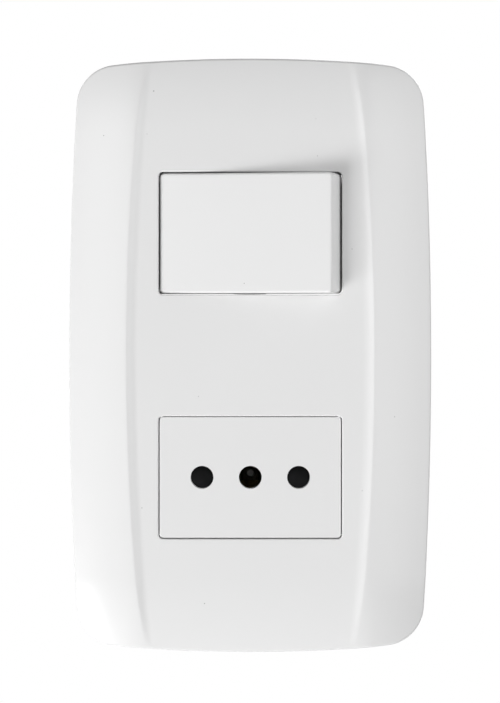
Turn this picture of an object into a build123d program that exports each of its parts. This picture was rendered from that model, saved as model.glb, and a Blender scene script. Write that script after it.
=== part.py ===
from build123d import *
from math import asin, atan2, cos, degrees, hypot, radians, sin, sqrt
import os

# Wall plate with a rocker switch above and a three-pin socket below.
# +X is to the right, +Z is up and the front looks along -Y. The wall is the plane y = 0,
# so heights in front of it are along -Y and depths behind it are along +Y.

# Cover plate, seen from the front
plate_width = 71.8
plate_length = 117.2
side_radius = 860.0
end_radius = 307.0
corner_radius = 7.9

# Cover plate, its form from side to side and from end to end
panel_height = 7.5
crown_height = 8.4
window_margin = 2.45
shoulder_radius = 20.0
shoulder_turn = 11.0
wing_edge = 4.35
crown_radius = 2750.0
roll_length = 14.6
roll_radius = 66.0
rim_round = 0.7
form_depth = 11.4
form_spare = 2.0
upright_limit = 0.05

# Cover plate, the sunk panel between the wings
crest_bow = 550.0
blend_radius = 4.5
blend_turn = 60.0
panel_turn = 7.0
panel_roll_radius = 84.0
panel_overlap = 1.0

# Cover plate, its walls and its inside
plate_wall = 2.4
panel_wall = 1.8
collar_wall = 1.0
collar_gap = 0.4
rib_wall = 1.0
rib_spacing = 6.0
rib_length = 40.0
rib_rise = 1.7

# Places of the two modules and their windows
module_spacing = 48.0
window_width = 36.1
window_height = 24.2
window_corner = 0.9
window_edge = 0.25
window_lip = 1.0
relief_side = 1.05
relief_end = 0.3

# Support frame
frame_gap = 3.85
frame_thickness = 2.0
frame_corner = 4.0
bay_side_gap = 0.2
bay_end_gap = 0.2
bridge_rib = 1.2
bridge_rib_inset = 5.0

# Latches that hold the cover plate on the frame
latch_wall = 1.4
latch_length = 6.0
latch_hook = 0.6
latch_hook_low = 0.3
latch_hook_rise = 0.7
latch_gap = 0.3
latch_seat_gap = 0.1

# Box screws
box_spacing = 83.5
box_slot_length = 8.0
box_slot_width = 4.2
box_screw_radius = 1.75
box_neck_radius = 1.5
box_screw_length = 25.0
box_head_radius = 3.2
box_head_height = 2.0
screw_point = 1.2

# Module carriers, which sit in the frame's bays
carrier_wall = 1.25
carrier_end_gap = 0.4
carrier_back = 1.6
flange_reach = 1.6
flange_thickness = 1.2
flange_length = 18.0
clip_reach = 0.6
clip_length = 6.0
clip_height = 1.2
clip_gap = 0.1

# Legs that hold the rear housings to the carriers
housing_inset = 3.0
housing_length = 20.0
housing_wall = 1.4
leg_gap = 0.15
leg_wall = 1.4
leg_length = 8.0
leg_reach = 6.4
leg_window_length = 5.2
leg_window_low = 3.0
leg_window_high = 5.2
nub_reach = 0.9
nub_gap = 0.2

# Rocker key
key_end_gap = 0.64
key_side_gap = 0.3
key_tilt = 6.5
key_rise = 7.95
key_skirt = 2.2
key_face_wall = 1.8
key_side_wall = 1.2
key_end_wall = 1.3
key_corner = 0.8
key_edge = 0.55
pivot_depth = 6.5
pivot_radius = 1.5
pivot_gap = 0.05
ear_radius = 3.2
ear_gap = 0.2
pin_end_gap = 0.2
wall_thickness = 1.2
chassis_floor = 1.4
chassis_side_gap = 0.35
post_opening_width = 11.0
post_opening_length = 9.0
stop_gap = 0.3
stop_width = 2.4
stop_inset = 0.9

# Plunger in the key's post, and its spring
plunger_radius = 1.5
plunger_gap = 0.05
plunger_length = 11.0
plunger_reach = 11.0
post_radius = 2.6
post_reach = 6.0
post_bore_end = 5.0
spring_wire = 0.35
spring_end_gap = 0.1
plunger_coils = 7

# Contact lever and what it closes on
lever_gap = 0.1
lever_thickness = 1.0
lever_width = 5.0
lever_right = 10.2
lever_left = 6.0
lever_lip = 0.9
lever_tilt = 9.0
knuckle_radius = 0.9
knuckle_drop = 0.5
knuckle_gap = 0.08
contact_x = 8.5
contact_radius = 1.6
contact_thickness = 0.8
contact_gap = 0.3
strip_thickness = 0.8
strip_width = 5.0
strip_bend = 0.5
strip_foot_end = 12.3
strip_foot_start = 4.6
support_half = 1.7
support_front = 0.1

# Terminal blocks, alike in both modules
terminal_front = 18.2
terminal_length = 6.5
terminal_width = 6.0
terminal_height = 8.0
terminal_bore = 2.0
terminal_screw_radius = 1.25
terminal_screw_gap = 0.05
terminal_head_radius = 2.4
terminal_head_height = 1.8
terminal_head_lift = 1.6
terminal_tip_gap = 0.2
terminal_seat_gap = 0.1
screw_slot_width = 0.8
screw_slot_depth = 0.8
block_edge = 0.3
wire_entry_radius = 2.4
driver_hole_radius = 2.8
cell_wall = 1.0
cell_height = 5.2

# Socket face and its three pin holes
pin_spacing = 9.5
pin_hole_radius = 2.25
face_gap = 0.2
face_recess = 0.15
face_wall = 2.55
face_corner = 0.7
face_edge = 0.2
face_side_wall = 1.5
face_end_wall = 1.4
body_gap = 0.2

# Shutter under the socket face
shutter_thickness = 2.4
shutter_gap = 0.15
shutter_travel = 5.1
shutter_half = 2.7
shutter_bar = 2.0
rail_inset = 3.65
shutter_middle = 3.4
shutter_ramp = 1.2
shutter_spring_x = 5.3
shutter_pocket = 2.3
shutter_pocket_end = 1.5
shutter_spring_radius = 0.8
shutter_spring_wire = 0.3
shutter_coils = 10
rail_gap = 0.2
rail_width = 1.8
rail_top = 4.0
stop_ledge_inset = 3.4

# Pin contacts of the socket
chamber_width = 6.4
contact_leaf = 0.6
leaf_width = 5.0
earth_leaf_width = 4.4
leaf_foot_half = 2.4
leaf_throat_half = 2.15
leaf_mouth_half = 2.75
leaf_throat_depth = 5.5
leaf_waist_depth = 12.0
leaf_front_depth = -1.5
earth_front_depth = -4.4
leaf_bend = 1.2
rivet_radius = 0.95
rivet_height = 0.6
rivet_lift = -0.65
core_width = 28.0
core_height = 3.4
core_centre = 7.3
core_back_depth = 5.0
core_front_depth = 15.0

# Sizes that follow
switch_z = module_spacing / 2
socket_z = -module_spacing / 2
window_places = [(0, switch_z), (0, socket_z)]
pin_places = [-pin_spacing, 0.0, pin_spacing]
switch_terminal_places = [-pin_spacing, pin_spacing]

crown_reach = plate_length / 2 - roll_length
crown_axis_y = crown_radius - crown_height
crown_turn = degrees(asin(crown_reach / crown_radius))
crown_end_y = crown_axis_y - crown_radius * cos(radians(crown_turn))
roll_axis_y = crown_end_y + roll_radius * cos(radians(crown_turn))
roll_axis_z = crown_reach - roll_radius * sin(radians(crown_turn))
roll_turn = degrees(asin((plate_length / 2 + form_spare - roll_axis_z) / roll_radius)) - crown_turn
flat_half = window_width / 2 + window_margin
crest_half = flat_half + shoulder_radius * sin(radians(shoulder_turn))
crest_height = crown_height - shoulder_radius * (1 - cos(radians(shoulder_turn)))
panel_roll_reach = plate_length / 2 + form_spare - crown_reach
panel_roll_turn = degrees(asin(panel_roll_reach / panel_roll_radius))
wing_reach = plate_width / 2 - crest_half
wing_drop = crest_height - wing_edge
wing_half_turn = degrees(atan2(wing_drop, wing_reach)) - shoulder_turn
wing_radius = hypot(wing_reach, wing_drop) / (2 * sin(radians(wing_half_turn)))
wing_turn = 2 * wing_half_turn + degrees(form_spare / wing_radius)
crest_step = crest_height - panel_height
blend_width = sqrt(crest_step * (2 * blend_radius - crest_step))
panel_back = panel_height - panel_wall

pivot_height = panel_height - pivot_depth
key_height = window_height - 2 * key_side_gap
key_reach = hypot(window_width / 2 - key_end_gap, pivot_depth)
key_face_length = 2 * sqrt(key_reach**2 - key_rise**2)
chassis_inner_half = key_reach + chassis_side_gap

carrier_width = 2 * (chassis_inner_half + carrier_wall)
bay_width = carrier_width + 2 * bay_side_gap
bay_length = key_height + 2 * bay_end_gap
carrier_length = bay_length - 2 * carrier_end_gap
frame_width = plate_width - 2 * (plate_wall + frame_gap)
frame_length = plate_length - 2 * (plate_wall + frame_gap)
latch_x = (bay_width + frame_width) / 4
housing_width = carrier_width - 2 * housing_inset
flange_top = frame_thickness + flange_thickness
leg_x = housing_width / 2 + leg_gap + leg_wall / 2
housing_depth = terminal_front + terminal_length
housing_back = housing_depth + housing_wall

skirt_half = sqrt(key_reach**2 - key_skirt**2)
key_inner_reach = key_reach - key_end_wall
key_inner_rise = key_rise - key_face_wall
key_inner_half = sqrt(key_inner_reach**2 - key_inner_rise**2)
wall_half = key_height / 2 - key_side_wall - ear_gap
pressed_skirt = pivot_height - skirt_half * sin(radians(key_tilt)) + key_skirt * cos(radians(key_tilt))

lever_front = -pivot_height + plunger_reach + plunger_radius + lever_gap
fulcrum_y = lever_front + lever_thickness + knuckle_drop
contact_back = contact_thickness - knuckle_drop
fixed_front = contact_back + contact_gap
pad_front = fixed_front + contact_thickness

face_width = window_width - 2 * face_gap
face_length = window_height - 2 * face_gap
face_height = panel_height - face_recess
face_back = face_height - face_wall
pocket_width = face_width - 2 * face_end_wall
pocket_length = face_length - 2 * face_side_wall
body_width = pocket_width - 2 * body_gap
body_length = pocket_length - 2 * body_gap
shutter_side = body_width / 2 - rail_inset - rail_gap
shutter_front = face_back - shutter_gap
shutter_back = shutter_front - shutter_thickness
deck_height = shutter_back - shutter_gap


def front(height):
    """Plane parallel to the wall at a height in front of it, looking out."""
    return Plane.XZ.offset(height)


def level(z):
    """Level plane at a height up the wall, looking up."""
    return Plane.XY.offset(z)


def tilted(y, z, angle):
    """Level plane about an upright axis, with its right side turned to the back by an angle."""
    turn = radians(angle)
    return Plane(origin=(0, y, z), x_dir=(cos(turn), sin(turn), 0), z_dir=(0, 0, 1))


def slab(width, length, low, high, x=0.0, z=0.0, mode=Mode.ADD):
    """Block of a given width and length, between two heights in front of the wall."""
    with Locations((x, -(low + high) / 2, z)):
        Box(width, high - low, length, mode=mode)


def plate_section(plane, inset):
    """Section across the plate on a plane through the crown's axis, set in by a wall."""
    top = inset - crown_radius
    base = form_depth - crown_radius
    with BuildSketch(plane) as section:
        with BuildLine():
            flat = Line((0, top), (flat_half, top))
            shoulder = JernArc(flat @ 1, (1, 0), shoulder_radius - inset, shoulder_turn)
            wing = JernArc(shoulder @ 1, shoulder % 1, wing_radius - inset, wing_turn)
            Polyline(wing @ 1, ((wing @ 1).X, base), (0, base))
            mirror(about=Plane.YZ)
        make_face()
    return section.sketch


def crowned_half(inset):
    """Upper half of the plate's crowned form, set in by a wall."""
    crown_axis = Axis((0, crown_axis_y, 0), (-1, 0, 0))
    roll_axis = Axis((0, roll_axis_y, roll_axis_z), (-1, 0, 0))
    turn = radians(crown_turn)
    middle = Plane(origin=crown_axis.position, x_dir=(1, 0, 0), z_dir=(0, 0, 1))
    crown_end = Plane(origin=crown_axis.position, x_dir=(1, 0, 0), z_dir=(0, sin(turn), cos(turn)))
    with BuildPart() as half:
        revolve(plate_section(middle, inset), crown_axis, crown_turn)
        revolve(plate_section(crown_end, inset), roll_axis, roll_turn)
    return half.part


def plate_form(inset):
    """Crowned form inside the plate's outline, from the wall outwards, set in by a wall."""
    upper = crowned_half(inset)
    half_width = plate_width / 2 - inset
    half_length = plate_length / 2 - inset
    side = side_radius - inset
    end = end_radius - inset
    with BuildPart() as form:
        add(upper)
        add(mirror(upper, about=Plane.XY, mode=Mode.PRIVATE))
        with BuildSketch(front(0)) as outline:
            with Locations((half_width - side, 0)):
                Circle(side)
            with Locations((side - half_width, 0)):
                Circle(side, mode=Mode.INTERSECT)
            with Locations((0, half_length - end)):
                Circle(end, mode=Mode.INTERSECT)
            with Locations((0, end - half_length)):
                Circle(end, mode=Mode.INTERSECT)
            fillet(outline.vertices(), corner_radius - inset)
        extrude(amount=crown_height + form_spare, mode=Mode.INTERSECT)
    return form.part


def panel_side():
    """Room in front of the right half of the sunk panel, with its hollow blend to the crest."""
    bow_axis = Axis((crest_half - crest_bow, 0, 0), (0, -1, 0))
    roll_axis = Axis((0, panel_roll_radius - panel_height, crown_reach), (-1, 0, 0))
    blend_start = crest_half - blend_width
    with BuildPart() as room:
        with BuildSketch(Plane.XY):
            with BuildLine():
                floor = Line((-panel_overlap, -panel_height), (blend_start, -panel_height))
                blend = JernArc(floor @ 1, (1, 0), blend_radius, -blend_turn)
                Polyline(blend @ 1, (-panel_overlap, (blend @ 1).Y), floor @ 0)
            make_face()
        revolve(axis=bow_axis, revolution_arc=panel_turn)
        split(bisect_by=level(crown_reach), keep=Keep.BOTTOM)
        roll_start = room.faces().filter_by(Plane.XY).sort_by(Axis.Z)[-1]
        revolve(roll_start, roll_axis, panel_roll_turn)
        mirror(about=Plane.XY)
    return room.part


def carrier_form(length, z):
    """Body of a module's carrier with its side flanges and its clips behind the frame."""
    side = carrier_width / 2
    slab(carrier_width, length, -carrier_back, flange_top, z=z)
    slab(carrier_width + 2 * flange_reach, flange_length, frame_thickness, flange_top, z=z)
    for sign in (-1, 1):
        with BuildSketch(level(z - clip_length / 2)) as clip:
            with BuildLine():
                Polyline(
                    (sign * side, clip_gap),
                    (sign * (side + clip_reach), clip_gap),
                    (sign * side, clip_gap + clip_height),
                    close=True,
                )
            make_face()
        extrude(clip.sketch, clip_length)


def carrier_legs(z):
    """Two windowed legs at the sides of the rear housing."""
    leg_end = -carrier_back - leg_reach
    for sign in (-1, 1):
        slab(leg_wall, leg_length, leg_end, -carrier_back, x=sign * leg_x, z=z)
        slab(
            leg_wall,
            leg_window_length,
            -carrier_back - leg_window_high,
            -carrier_back - leg_window_low,
            x=sign * leg_x,
            z=z,
            mode=Mode.SUBTRACT,
        )


def housing_nubs(z):
    """Ramped nubs at the sides of a rear housing, which click into the legs' windows."""
    side = housing_width / 2
    nub_front = carrier_back + leg_window_low + nub_gap
    nub_back = carrier_back + leg_window_high - nub_gap
    nub_length = leg_window_length - 2 * nub_gap
    for sign in (-1, 1):
        with BuildSketch(level(z - nub_length / 2)) as nub:
            with BuildLine():
                Polyline(
                    (sign * side, nub_front),
                    (sign * (side + nub_reach), nub_back),
                    (sign * side, nub_back),
                    close=True,
                )
            make_face()
        extrude(nub.sketch, nub_length)


def wire_and_screw_holes(places, z):
    """Wire entries in a housing's back, and driver holes in its upper side."""
    screw_y = terminal_front + terminal_length / 2
    with BuildSketch(front(-housing_depth)) as entries:
        with Locations([(x, z) for x in places]):
            Circle(wire_entry_radius)
    extrude(entries.sketch, -housing_wall, mode=Mode.SUBTRACT)
    with BuildSketch(level(z + terminal_height / 2 + terminal_seat_gap)) as drivers:
        with Locations([(x, screw_y) for x in places]):
            Circle(driver_hole_radius)
    extrude(drivers.sketch, housing_length / 2, mode=Mode.SUBTRACT)


def terminal_blocks(places, z):
    """Brass blocks with a wire bore from the back and a screw hole from above."""
    screw_y = terminal_front + terminal_length / 2
    for x in places:
        slab(terminal_width, terminal_height, -housing_depth, -terminal_front, x=x, z=z)
    chamfer(edges().filter_by(Axis.Y), block_edge)
    with BuildSketch(front(-housing_depth)) as bores:
        with Locations([(x, z) for x in places]):
            Circle(terminal_bore)
    extrude(bores.sketch, terminal_length, mode=Mode.SUBTRACT)
    with BuildSketch(level(z)) as threads:
        with Locations([(x, screw_y) for x in places]):
            Circle(terminal_screw_radius + terminal_screw_gap)
    extrude(threads.sketch, terminal_height / 2, mode=Mode.SUBTRACT)


def terminal_screws(places, z):
    """Slotted screws that press the wires into the blocks."""
    screw_y = terminal_front + terminal_length / 2
    tip = z + terminal_bore + terminal_tip_gap
    head = z + terminal_height / 2 + terminal_head_lift
    spots = [(x, screw_y) for x in places]
    with BuildSketch(level(tip)) as shanks:
        with Locations(spots):
            Circle(terminal_screw_radius)
    extrude(shanks.sketch, head - tip)
    with BuildSketch(level(head)) as heads:
        with Locations(spots):
            Circle(terminal_head_radius)
    extrude(heads.sketch, terminal_head_height)
    chamfer(edges().group_by(Axis.Z)[-1], block_edge)
    with BuildSketch(level(head + terminal_head_height)) as slots:
        with Locations(spots):
            Rectangle(2 * terminal_head_radius, screw_slot_width)
    extrude(slots.sketch, -screw_slot_depth, mode=Mode.SUBTRACT)


def coil_spring(start, axis_direction, length, radius, wire, coils):
    """Round-wire coil spring between two points on its axis."""
    pitch = (length - wire) / coils
    along = Vector(*axis_direction).normalized()
    centre = Vector(*start) + along * (wire / 2)
    with BuildPart() as spring:
        with BuildLine() as coil:
            Helix(pitch, length - wire, radius, center=centre, direction=along)
        with BuildSketch(Plane(origin=coil.line @ 0, z_dir=coil.line % 0)):
            Circle(wire / 2)
        sweep(path=coil.line, is_frenet=True)
    return spring.part


# Cover plate: crowned shell with a sunk panel, two windows, collars, ribs and latches
outer_form = plate_form(0)
inner_form = plate_form(plate_wall)
panel_room = panel_side()
relief_width = window_width + 2 * relief_side
relief_length = window_height + 2 * relief_end
collar_low = flange_top + collar_gap
latch_places = [(x, z) for x in (-latch_x, latch_x) for z in (switch_z, socket_z)]
rib_places = [(0, z) for z in (-rib_spacing, 0, rib_spacing)]

with BuildPart() as cover_plate:
    add(outer_form)
    walls = cover_plate.faces().filter_by(lambda face: abs(face.normal_at().Y) < upright_limit)
    sides = walls.edges().filter_by(Axis.Y, reverse=True)
    rim = sides.filter_by(lambda edge: edge.center().Y < -rim_round)
    fillet(rim, rim_round)
    add(panel_room, mode=Mode.SUBTRACT)
    add(mirror(panel_room, about=Plane.YZ, mode=Mode.PRIVATE), mode=Mode.SUBTRACT)
    hollow = split(inner_form, bisect_by=front(panel_back), keep=Keep.BOTTOM, mode=Mode.PRIVATE)
    add(hollow, mode=Mode.SUBTRACT)
    with BuildSketch(front(collar_low)):
        with Locations(window_places):
            Rectangle(relief_width + 2 * collar_wall, relief_length + 2 * collar_wall)
    extrude(amount=panel_back - collar_low)
    with BuildSketch(front(panel_back - rib_rise)):
        with Locations(rib_places):
            Rectangle(rib_length, rib_wall)
    extrude(amount=rib_rise)
    with BuildSketch(front(latch_hook_low)):
        with Locations(latch_places):
            Rectangle(latch_wall, latch_length)
    extrude(amount=panel_back - latch_hook_low)
    for x, z in latch_places:
        side = 1 if x > 0 else -1
        with BuildSketch(level(z - latch_length / 2)):
            with BuildLine():
                Polyline(
                    (x + side * latch_wall / 2, -latch_hook_low),
                    (x + side * (latch_wall / 2 + latch_hook), -latch_hook_low - latch_hook_rise),
                    (x + side * latch_wall / 2, -latch_hook_low - latch_hook_rise),
                    close=True,
                )
            make_face()
        extrude(amount=latch_length)
    with BuildSketch(front(collar_low)):
        with Locations(window_places):
            Rectangle(relief_width, relief_length)
    extrude(amount=panel_height - window_lip - collar_low, mode=Mode.SUBTRACT)
    with BuildSketch(front(collar_low)):
        with Locations(window_places):
            RectangleRounded(window_width, window_height, window_corner)
    extrude(amount=crown_height, mode=Mode.SUBTRACT)
    window_rims = cover_plate.faces().filter_by(Plane.XZ).sort_by(Axis.Y)[0].inner_wires().edges()
    fillet(window_rims, window_edge)

cover_plate.part.label = "cover_plate"
export_step(cover_plate.part, "parts/cover_plate.step")


# Support frame: flat frame with two bays, a ribbed bridge between them and slots for its screws
latch_slot_wall = latch_wall + 2 * latch_gap
latch_slot_length = latch_length + 2 * latch_gap
latch_room = latch_wall + 2 * (latch_hook + latch_gap)
latch_seat = latch_hook_low + latch_hook_rise + latch_seat_gap
box_screw_places = [(0, box_spacing / 2), (0, -box_spacing / 2)]
bridge_length = module_spacing - bay_length
bridge_rib_z = bridge_length / 2 - bridge_rib_inset
bridge_rib_places = [(0, z) for z in (-bridge_rib_z, 0, bridge_rib_z)]

with BuildPart() as support_frame:
    with BuildSketch(front(0)):
        RectangleRounded(frame_width, frame_length, frame_corner)
        with Locations(window_places):
            Rectangle(bay_width, bay_length, mode=Mode.SUBTRACT)
        with Locations(box_screw_places):
            SlotOverall(box_slot_length, box_slot_width, mode=Mode.SUBTRACT)
        with Locations(latch_places):
            Rectangle(latch_slot_wall, latch_slot_length, mode=Mode.SUBTRACT)
    extrude(amount=frame_thickness)
    with BuildSketch(front(0)):
        with Locations(latch_places):
            Rectangle(latch_room, latch_slot_length)
    extrude(amount=latch_seat, mode=Mode.SUBTRACT)
    with BuildSketch(front(frame_thickness)):
        with Locations(bridge_rib_places):
            Rectangle(bay_width, bridge_rib)
        Rectangle(bridge_rib, bridge_length - bridge_rib)
    extrude(amount=bridge_rib)

support_frame.part.label = "support_frame"
export_step(support_frame.part, "parts/support_frame.step")


# Box screws: two slotted round-head screws, with a plain neck in the frame and their thread behind it
with BuildPart() as box_screws:
    with BuildSketch(front(frame_thickness)):
        with Locations(box_screw_places):
            Circle(box_head_radius)
    extrude(amount=box_head_height)
    fillet(box_screws.edges().group_by(Axis.Y)[0], box_head_height / 2)
    with BuildSketch(front(frame_thickness)):
        with Locations(box_screw_places):
            Circle(box_neck_radius)
    extrude(amount=-frame_thickness)
    with BuildSketch(front(0)):
        with Locations(box_screw_places):
            Circle(box_screw_radius)
    extrude(amount=frame_thickness - box_screw_length)
    chamfer(box_screws.edges().group_by(Axis.Y)[-1], screw_point)
    with BuildSketch(front(frame_thickness + box_head_height)):
        with Locations(box_screw_places):
            Rectangle(2 * box_head_radius, screw_slot_width)
    extrude(amount=-screw_slot_depth, mode=Mode.SUBTRACT)

box_screws.part.label = "box_screws"
export_step(box_screws.part, "parts/box_screws.step")


# Rocker key: hollow shell that turns about two pins, with the plunger's post in its middle
key_plane = tilted(-pivot_height, switch_z, -key_tilt)
key_ends = [-key_height / 2, key_height / 2 - key_side_wall]

with BuildPart() as rocker_key:
    with BuildSketch(key_plane.offset(-key_height / 2)):
        with BuildLine():
            face = Line((-key_face_length / 2, -key_rise), (key_face_length / 2, -key_rise))
            RadiusArc(face @ 1, (skirt_half, -key_skirt), -key_reach)
            Line((skirt_half, -key_skirt), (-skirt_half, -key_skirt))
            RadiusArc((-skirt_half, -key_skirt), face @ 0, -key_reach)
        make_face()
    extrude(amount=key_height)
    corners = rocker_key.edges().filter_by(GeomType.CIRCLE)
    fillet(corners, key_corner)
    key_front = rocker_key.faces().filter_by(GeomType.PLANE).sort_by(Axis.Y)[0]
    fillet(key_front.edges(), key_edge)
    with BuildSketch(key_plane.offset(key_side_wall - key_height / 2)):
        with BuildLine():
            roof = Line((-key_inner_half, -key_inner_rise), (key_inner_half, -key_inner_rise))
            RadiusArc(roof @ 1, (key_inner_reach, 0), -key_inner_reach)
            Line((key_inner_reach, 0), (-key_inner_reach, 0))
            RadiusArc((-key_inner_reach, 0), roof @ 0, -key_inner_reach)
        make_face()
    extrude(amount=key_height - 2 * key_side_wall, mode=Mode.SUBTRACT)
    for end in key_ends:
        with BuildSketch(key_plane.offset(end)):
            with Locations((0, -key_skirt)):
                Rectangle(2 * ear_radius, 2 * key_skirt)
            Circle(ear_radius)
        extrude(amount=key_side_wall)
    pin_length = ear_gap + wall_thickness + pin_end_gap
    for end, way in ((-key_height / 2 + key_side_wall, 1), (key_height / 2 - key_side_wall, -1)):
        with BuildSketch(key_plane.offset(end)):
            Circle(pivot_radius)
        extrude(amount=way * pin_length)
    post_plane = Plane(
        origin=key_plane.origin,
        x_dir=key_plane.z_dir,
        z_dir=key_plane.y_dir,
    )
    with BuildSketch(post_plane.offset(-key_inner_rise)):
        Circle(post_radius)
    extrude(amount=key_inner_rise + post_reach)
    with BuildSketch(post_plane.offset(-post_bore_end)):
        Circle(plunger_radius + plunger_gap)
    extrude(amount=post_bore_end + post_reach, mode=Mode.SUBTRACT)

rocker_key.part.label = "rocker_key"
export_step(rocker_key.part, "parts/rocker_key.step")


# Plunger: sliding pin with a ball end, which tips the contact lever over
plunger_top = plunger_reach + plunger_radius - plunger_length

with BuildPart() as plunger:
    with BuildSketch(post_plane.offset(plunger_top)):
        Circle(plunger_radius)
    extrude(amount=plunger_length - plunger_radius)
    with Locations(post_plane.offset(plunger_reach).origin):
        Sphere(plunger_radius)

plunger.part.label = "plunger"
export_step(plunger.part, "parts/plunger.step")


# Plunger spring, between the post's blind end and the plunger
spring_low = -post_bore_end + spring_end_gap
spring_room = plunger_top - spring_end_gap - spring_low

with BuildPart() as plunger_spring:
    add(
        coil_spring(
            post_plane.offset(spring_low).origin,
            post_plane.z_dir,
            spring_room,
            plunger_radius - spring_wire,
            spring_wire,
            plunger_coils,
        )
    )

plunger_spring.part.label = "plunger_spring"
export_step(plunger_spring.part, "parts/plunger_spring.step")


# Switch chassis: carrier with the key's bearings, its stops and the opening for the post
chassis_length = 2 * wall_half
stop_x = skirt_half - stop_inset - stop_width / 2
floor_height = chassis_floor - carrier_back
stop_height = pressed_skirt - stop_gap
notch_width = chassis_inner_half - key_inner_reach + 2 * chassis_side_gap

with BuildPart() as switch_chassis:
    carrier_form(chassis_length, switch_z)
    carrier_legs(switch_z)
    slab(
        2 * chassis_inner_half,
        chassis_length - 2 * wall_thickness,
        floor_height,
        flange_top,
        z=switch_z,
        mode=Mode.SUBTRACT,
    )
    slab(
        post_opening_width,
        post_opening_length,
        -carrier_back,
        floor_height,
        z=switch_z,
        mode=Mode.SUBTRACT,
    )
    for sign in (-1, 1):
        slab(
            notch_width,
            chassis_length,
            stop_height,
            flange_top,
            x=sign * (chassis_inner_half - notch_width / 2),
            z=switch_z,
            mode=Mode.SUBTRACT,
        )
        slab(
            stop_width,
            chassis_length - 2 * wall_thickness,
            floor_height,
            stop_height,
            x=sign * stop_x,
            z=switch_z,
        )
    with BuildSketch(tilted(-pivot_height, switch_z, 0).offset(-key_height / 2)):
        Circle(pivot_radius + pivot_gap)
    extrude(amount=key_height, mode=Mode.SUBTRACT)

switch_chassis.part.label = "switch_chassis"
export_step(switch_chassis.part, "parts/switch_chassis.step")


# Switch housing: box behind the chassis with a walled cell for each terminal block
cell_width = terminal_width + 2 * terminal_seat_gap
cell_length = terminal_height + 2 * terminal_seat_gap

with BuildPart() as switch_housing:
    slab(housing_width, housing_length, -housing_back, -carrier_back, z=switch_z)
    slab(
        housing_width - 2 * housing_wall,
        housing_length - 2 * housing_wall,
        -housing_depth,
        -carrier_back,
        z=switch_z,
        mode=Mode.SUBTRACT,
    )
    for x in switch_terminal_places:
        slab(
            cell_width + 2 * cell_wall,
            cell_length + 2 * cell_wall,
            -housing_depth,
            cell_height - housing_depth,
            x=x,
            z=switch_z,
        )
        slab(
            cell_width,
            cell_length,
            -housing_depth,
            cell_height - housing_depth,
            x=x,
            z=switch_z,
            mode=Mode.SUBTRACT,
        )
    wire_and_screw_holes(switch_terminal_places, switch_z)
    housing_nubs(switch_z)

switch_housing.part.label = "switch_housing"
export_step(switch_housing.part, "parts/switch_housing.step")


# Contact lever: rocking blade with a knuckle that turns in the common strip
lever_plane = tilted(fulcrum_y, switch_z, lever_tilt)
lever_back = -knuckle_drop

with BuildPart() as contact_lever:
    with BuildSketch(lever_plane.offset(-lever_width / 2)):
        with BuildLine():
            Polyline(
                (-lever_left, lever_back),
                (lever_right, lever_back),
                (lever_right, lever_back - lever_thickness - lever_lip),
                (lever_right - lever_thickness, lever_back - lever_thickness - lever_lip),
                (lever_right - lever_thickness, lever_back - lever_thickness),
                (lever_thickness - lever_left, lever_back - lever_thickness),
                (lever_thickness - lever_left, lever_back - lever_thickness - lever_lip),
                (-lever_left, lever_back - lever_thickness - lever_lip),
                close=True,
            )
        make_face()
        Circle(knuckle_radius)
    extrude(amount=lever_width)

contact_lever.part.label = "contact_lever"
export_step(contact_lever.part, "parts/contact_lever.step")


# Contact tips: one on the lever and one on the line strip, a little apart
tip_plane = Plane(origin=lever_plane.origin, x_dir=lever_plane.x_dir, z_dir=lever_plane.y_dir)

with BuildPart() as moving_contact:
    with BuildSketch(tip_plane.offset(lever_back)):
        with Locations((contact_x, 0)):
            Circle(contact_radius)
    extrude(amount=contact_thickness)
    chamfer(moving_contact.edges().filter_by(GeomType.CIRCLE).sort_by(Axis.Y)[-1], block_edge)

moving_contact.part.label = "moving_contact"
export_step(moving_contact.part, "parts/moving_contact.step")

with BuildPart() as fixed_contact:
    with BuildSketch(tip_plane.offset(fixed_front)):
        with Locations((contact_x, 0)):
            Circle(contact_radius)
    extrude(amount=contact_thickness)
    chamfer(fixed_contact.edges().filter_by(GeomType.CIRCLE).sort_by(Axis.Y)[0], block_edge)

fixed_contact.part.label = "fixed_contact"
export_step(fixed_contact.part, "parts/fixed_contact.step")


# Line strip: folded strip from the terminal block to the pad under the fixed contact
foot_middle = terminal_front - strip_thickness / 2
pad_middle = pad_front + strip_thickness / 2
pad_right = lever_plane.from_local_coords(Vector(contact_x + contact_radius, pad_middle, 0))
pad_left = lever_plane.from_local_coords(Vector(contact_x - contact_radius, pad_middle, 0))

with BuildPart() as line_strip:
    with BuildSketch(level(switch_z - strip_width / 2)):
        with BuildLine() as fold:
            FilletPolyline(
                (strip_foot_end, foot_middle),
                (strip_foot_start, foot_middle),
                (pad_left.X - strip_thickness, pad_left.Y - strip_thickness * sin(radians(lever_tilt))),
                (pad_right.X, pad_right.Y),
                radius=strip_bend,
            )
        trace(fold.line, strip_thickness)
    extrude(amount=strip_width)

line_strip.part.label = "line_strip"
export_step(line_strip.part, "parts/line_strip.step")


# Common strip: foot on the other terminal block and the support that the lever rocks in
with BuildPart() as common_strip:
    slab(
        strip_foot_end + support_half,
        strip_width,
        -terminal_front,
        strip_thickness - terminal_front,
        x=(support_half - strip_foot_end) / 2,
        z=switch_z,
    )
    slab(
        2 * support_half,
        strip_width,
        -terminal_front,
        -fulcrum_y - support_front,
        z=switch_z,
    )
    with BuildSketch(lever_plane.offset(-strip_width)):
        Circle(knuckle_radius + knuckle_gap)
    extrude(amount=2 * strip_width, mode=Mode.SUBTRACT)

common_strip.part.label = "common_strip"
export_step(common_strip.part, "parts/common_strip.step")


# Terminal blocks and screws of the switch
with BuildPart() as switch_terminals:
    terminal_blocks(switch_terminal_places, switch_z)

switch_terminals.part.label = "switch_terminals"
export_step(switch_terminals.part, "parts/switch_terminals.step")

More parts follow.
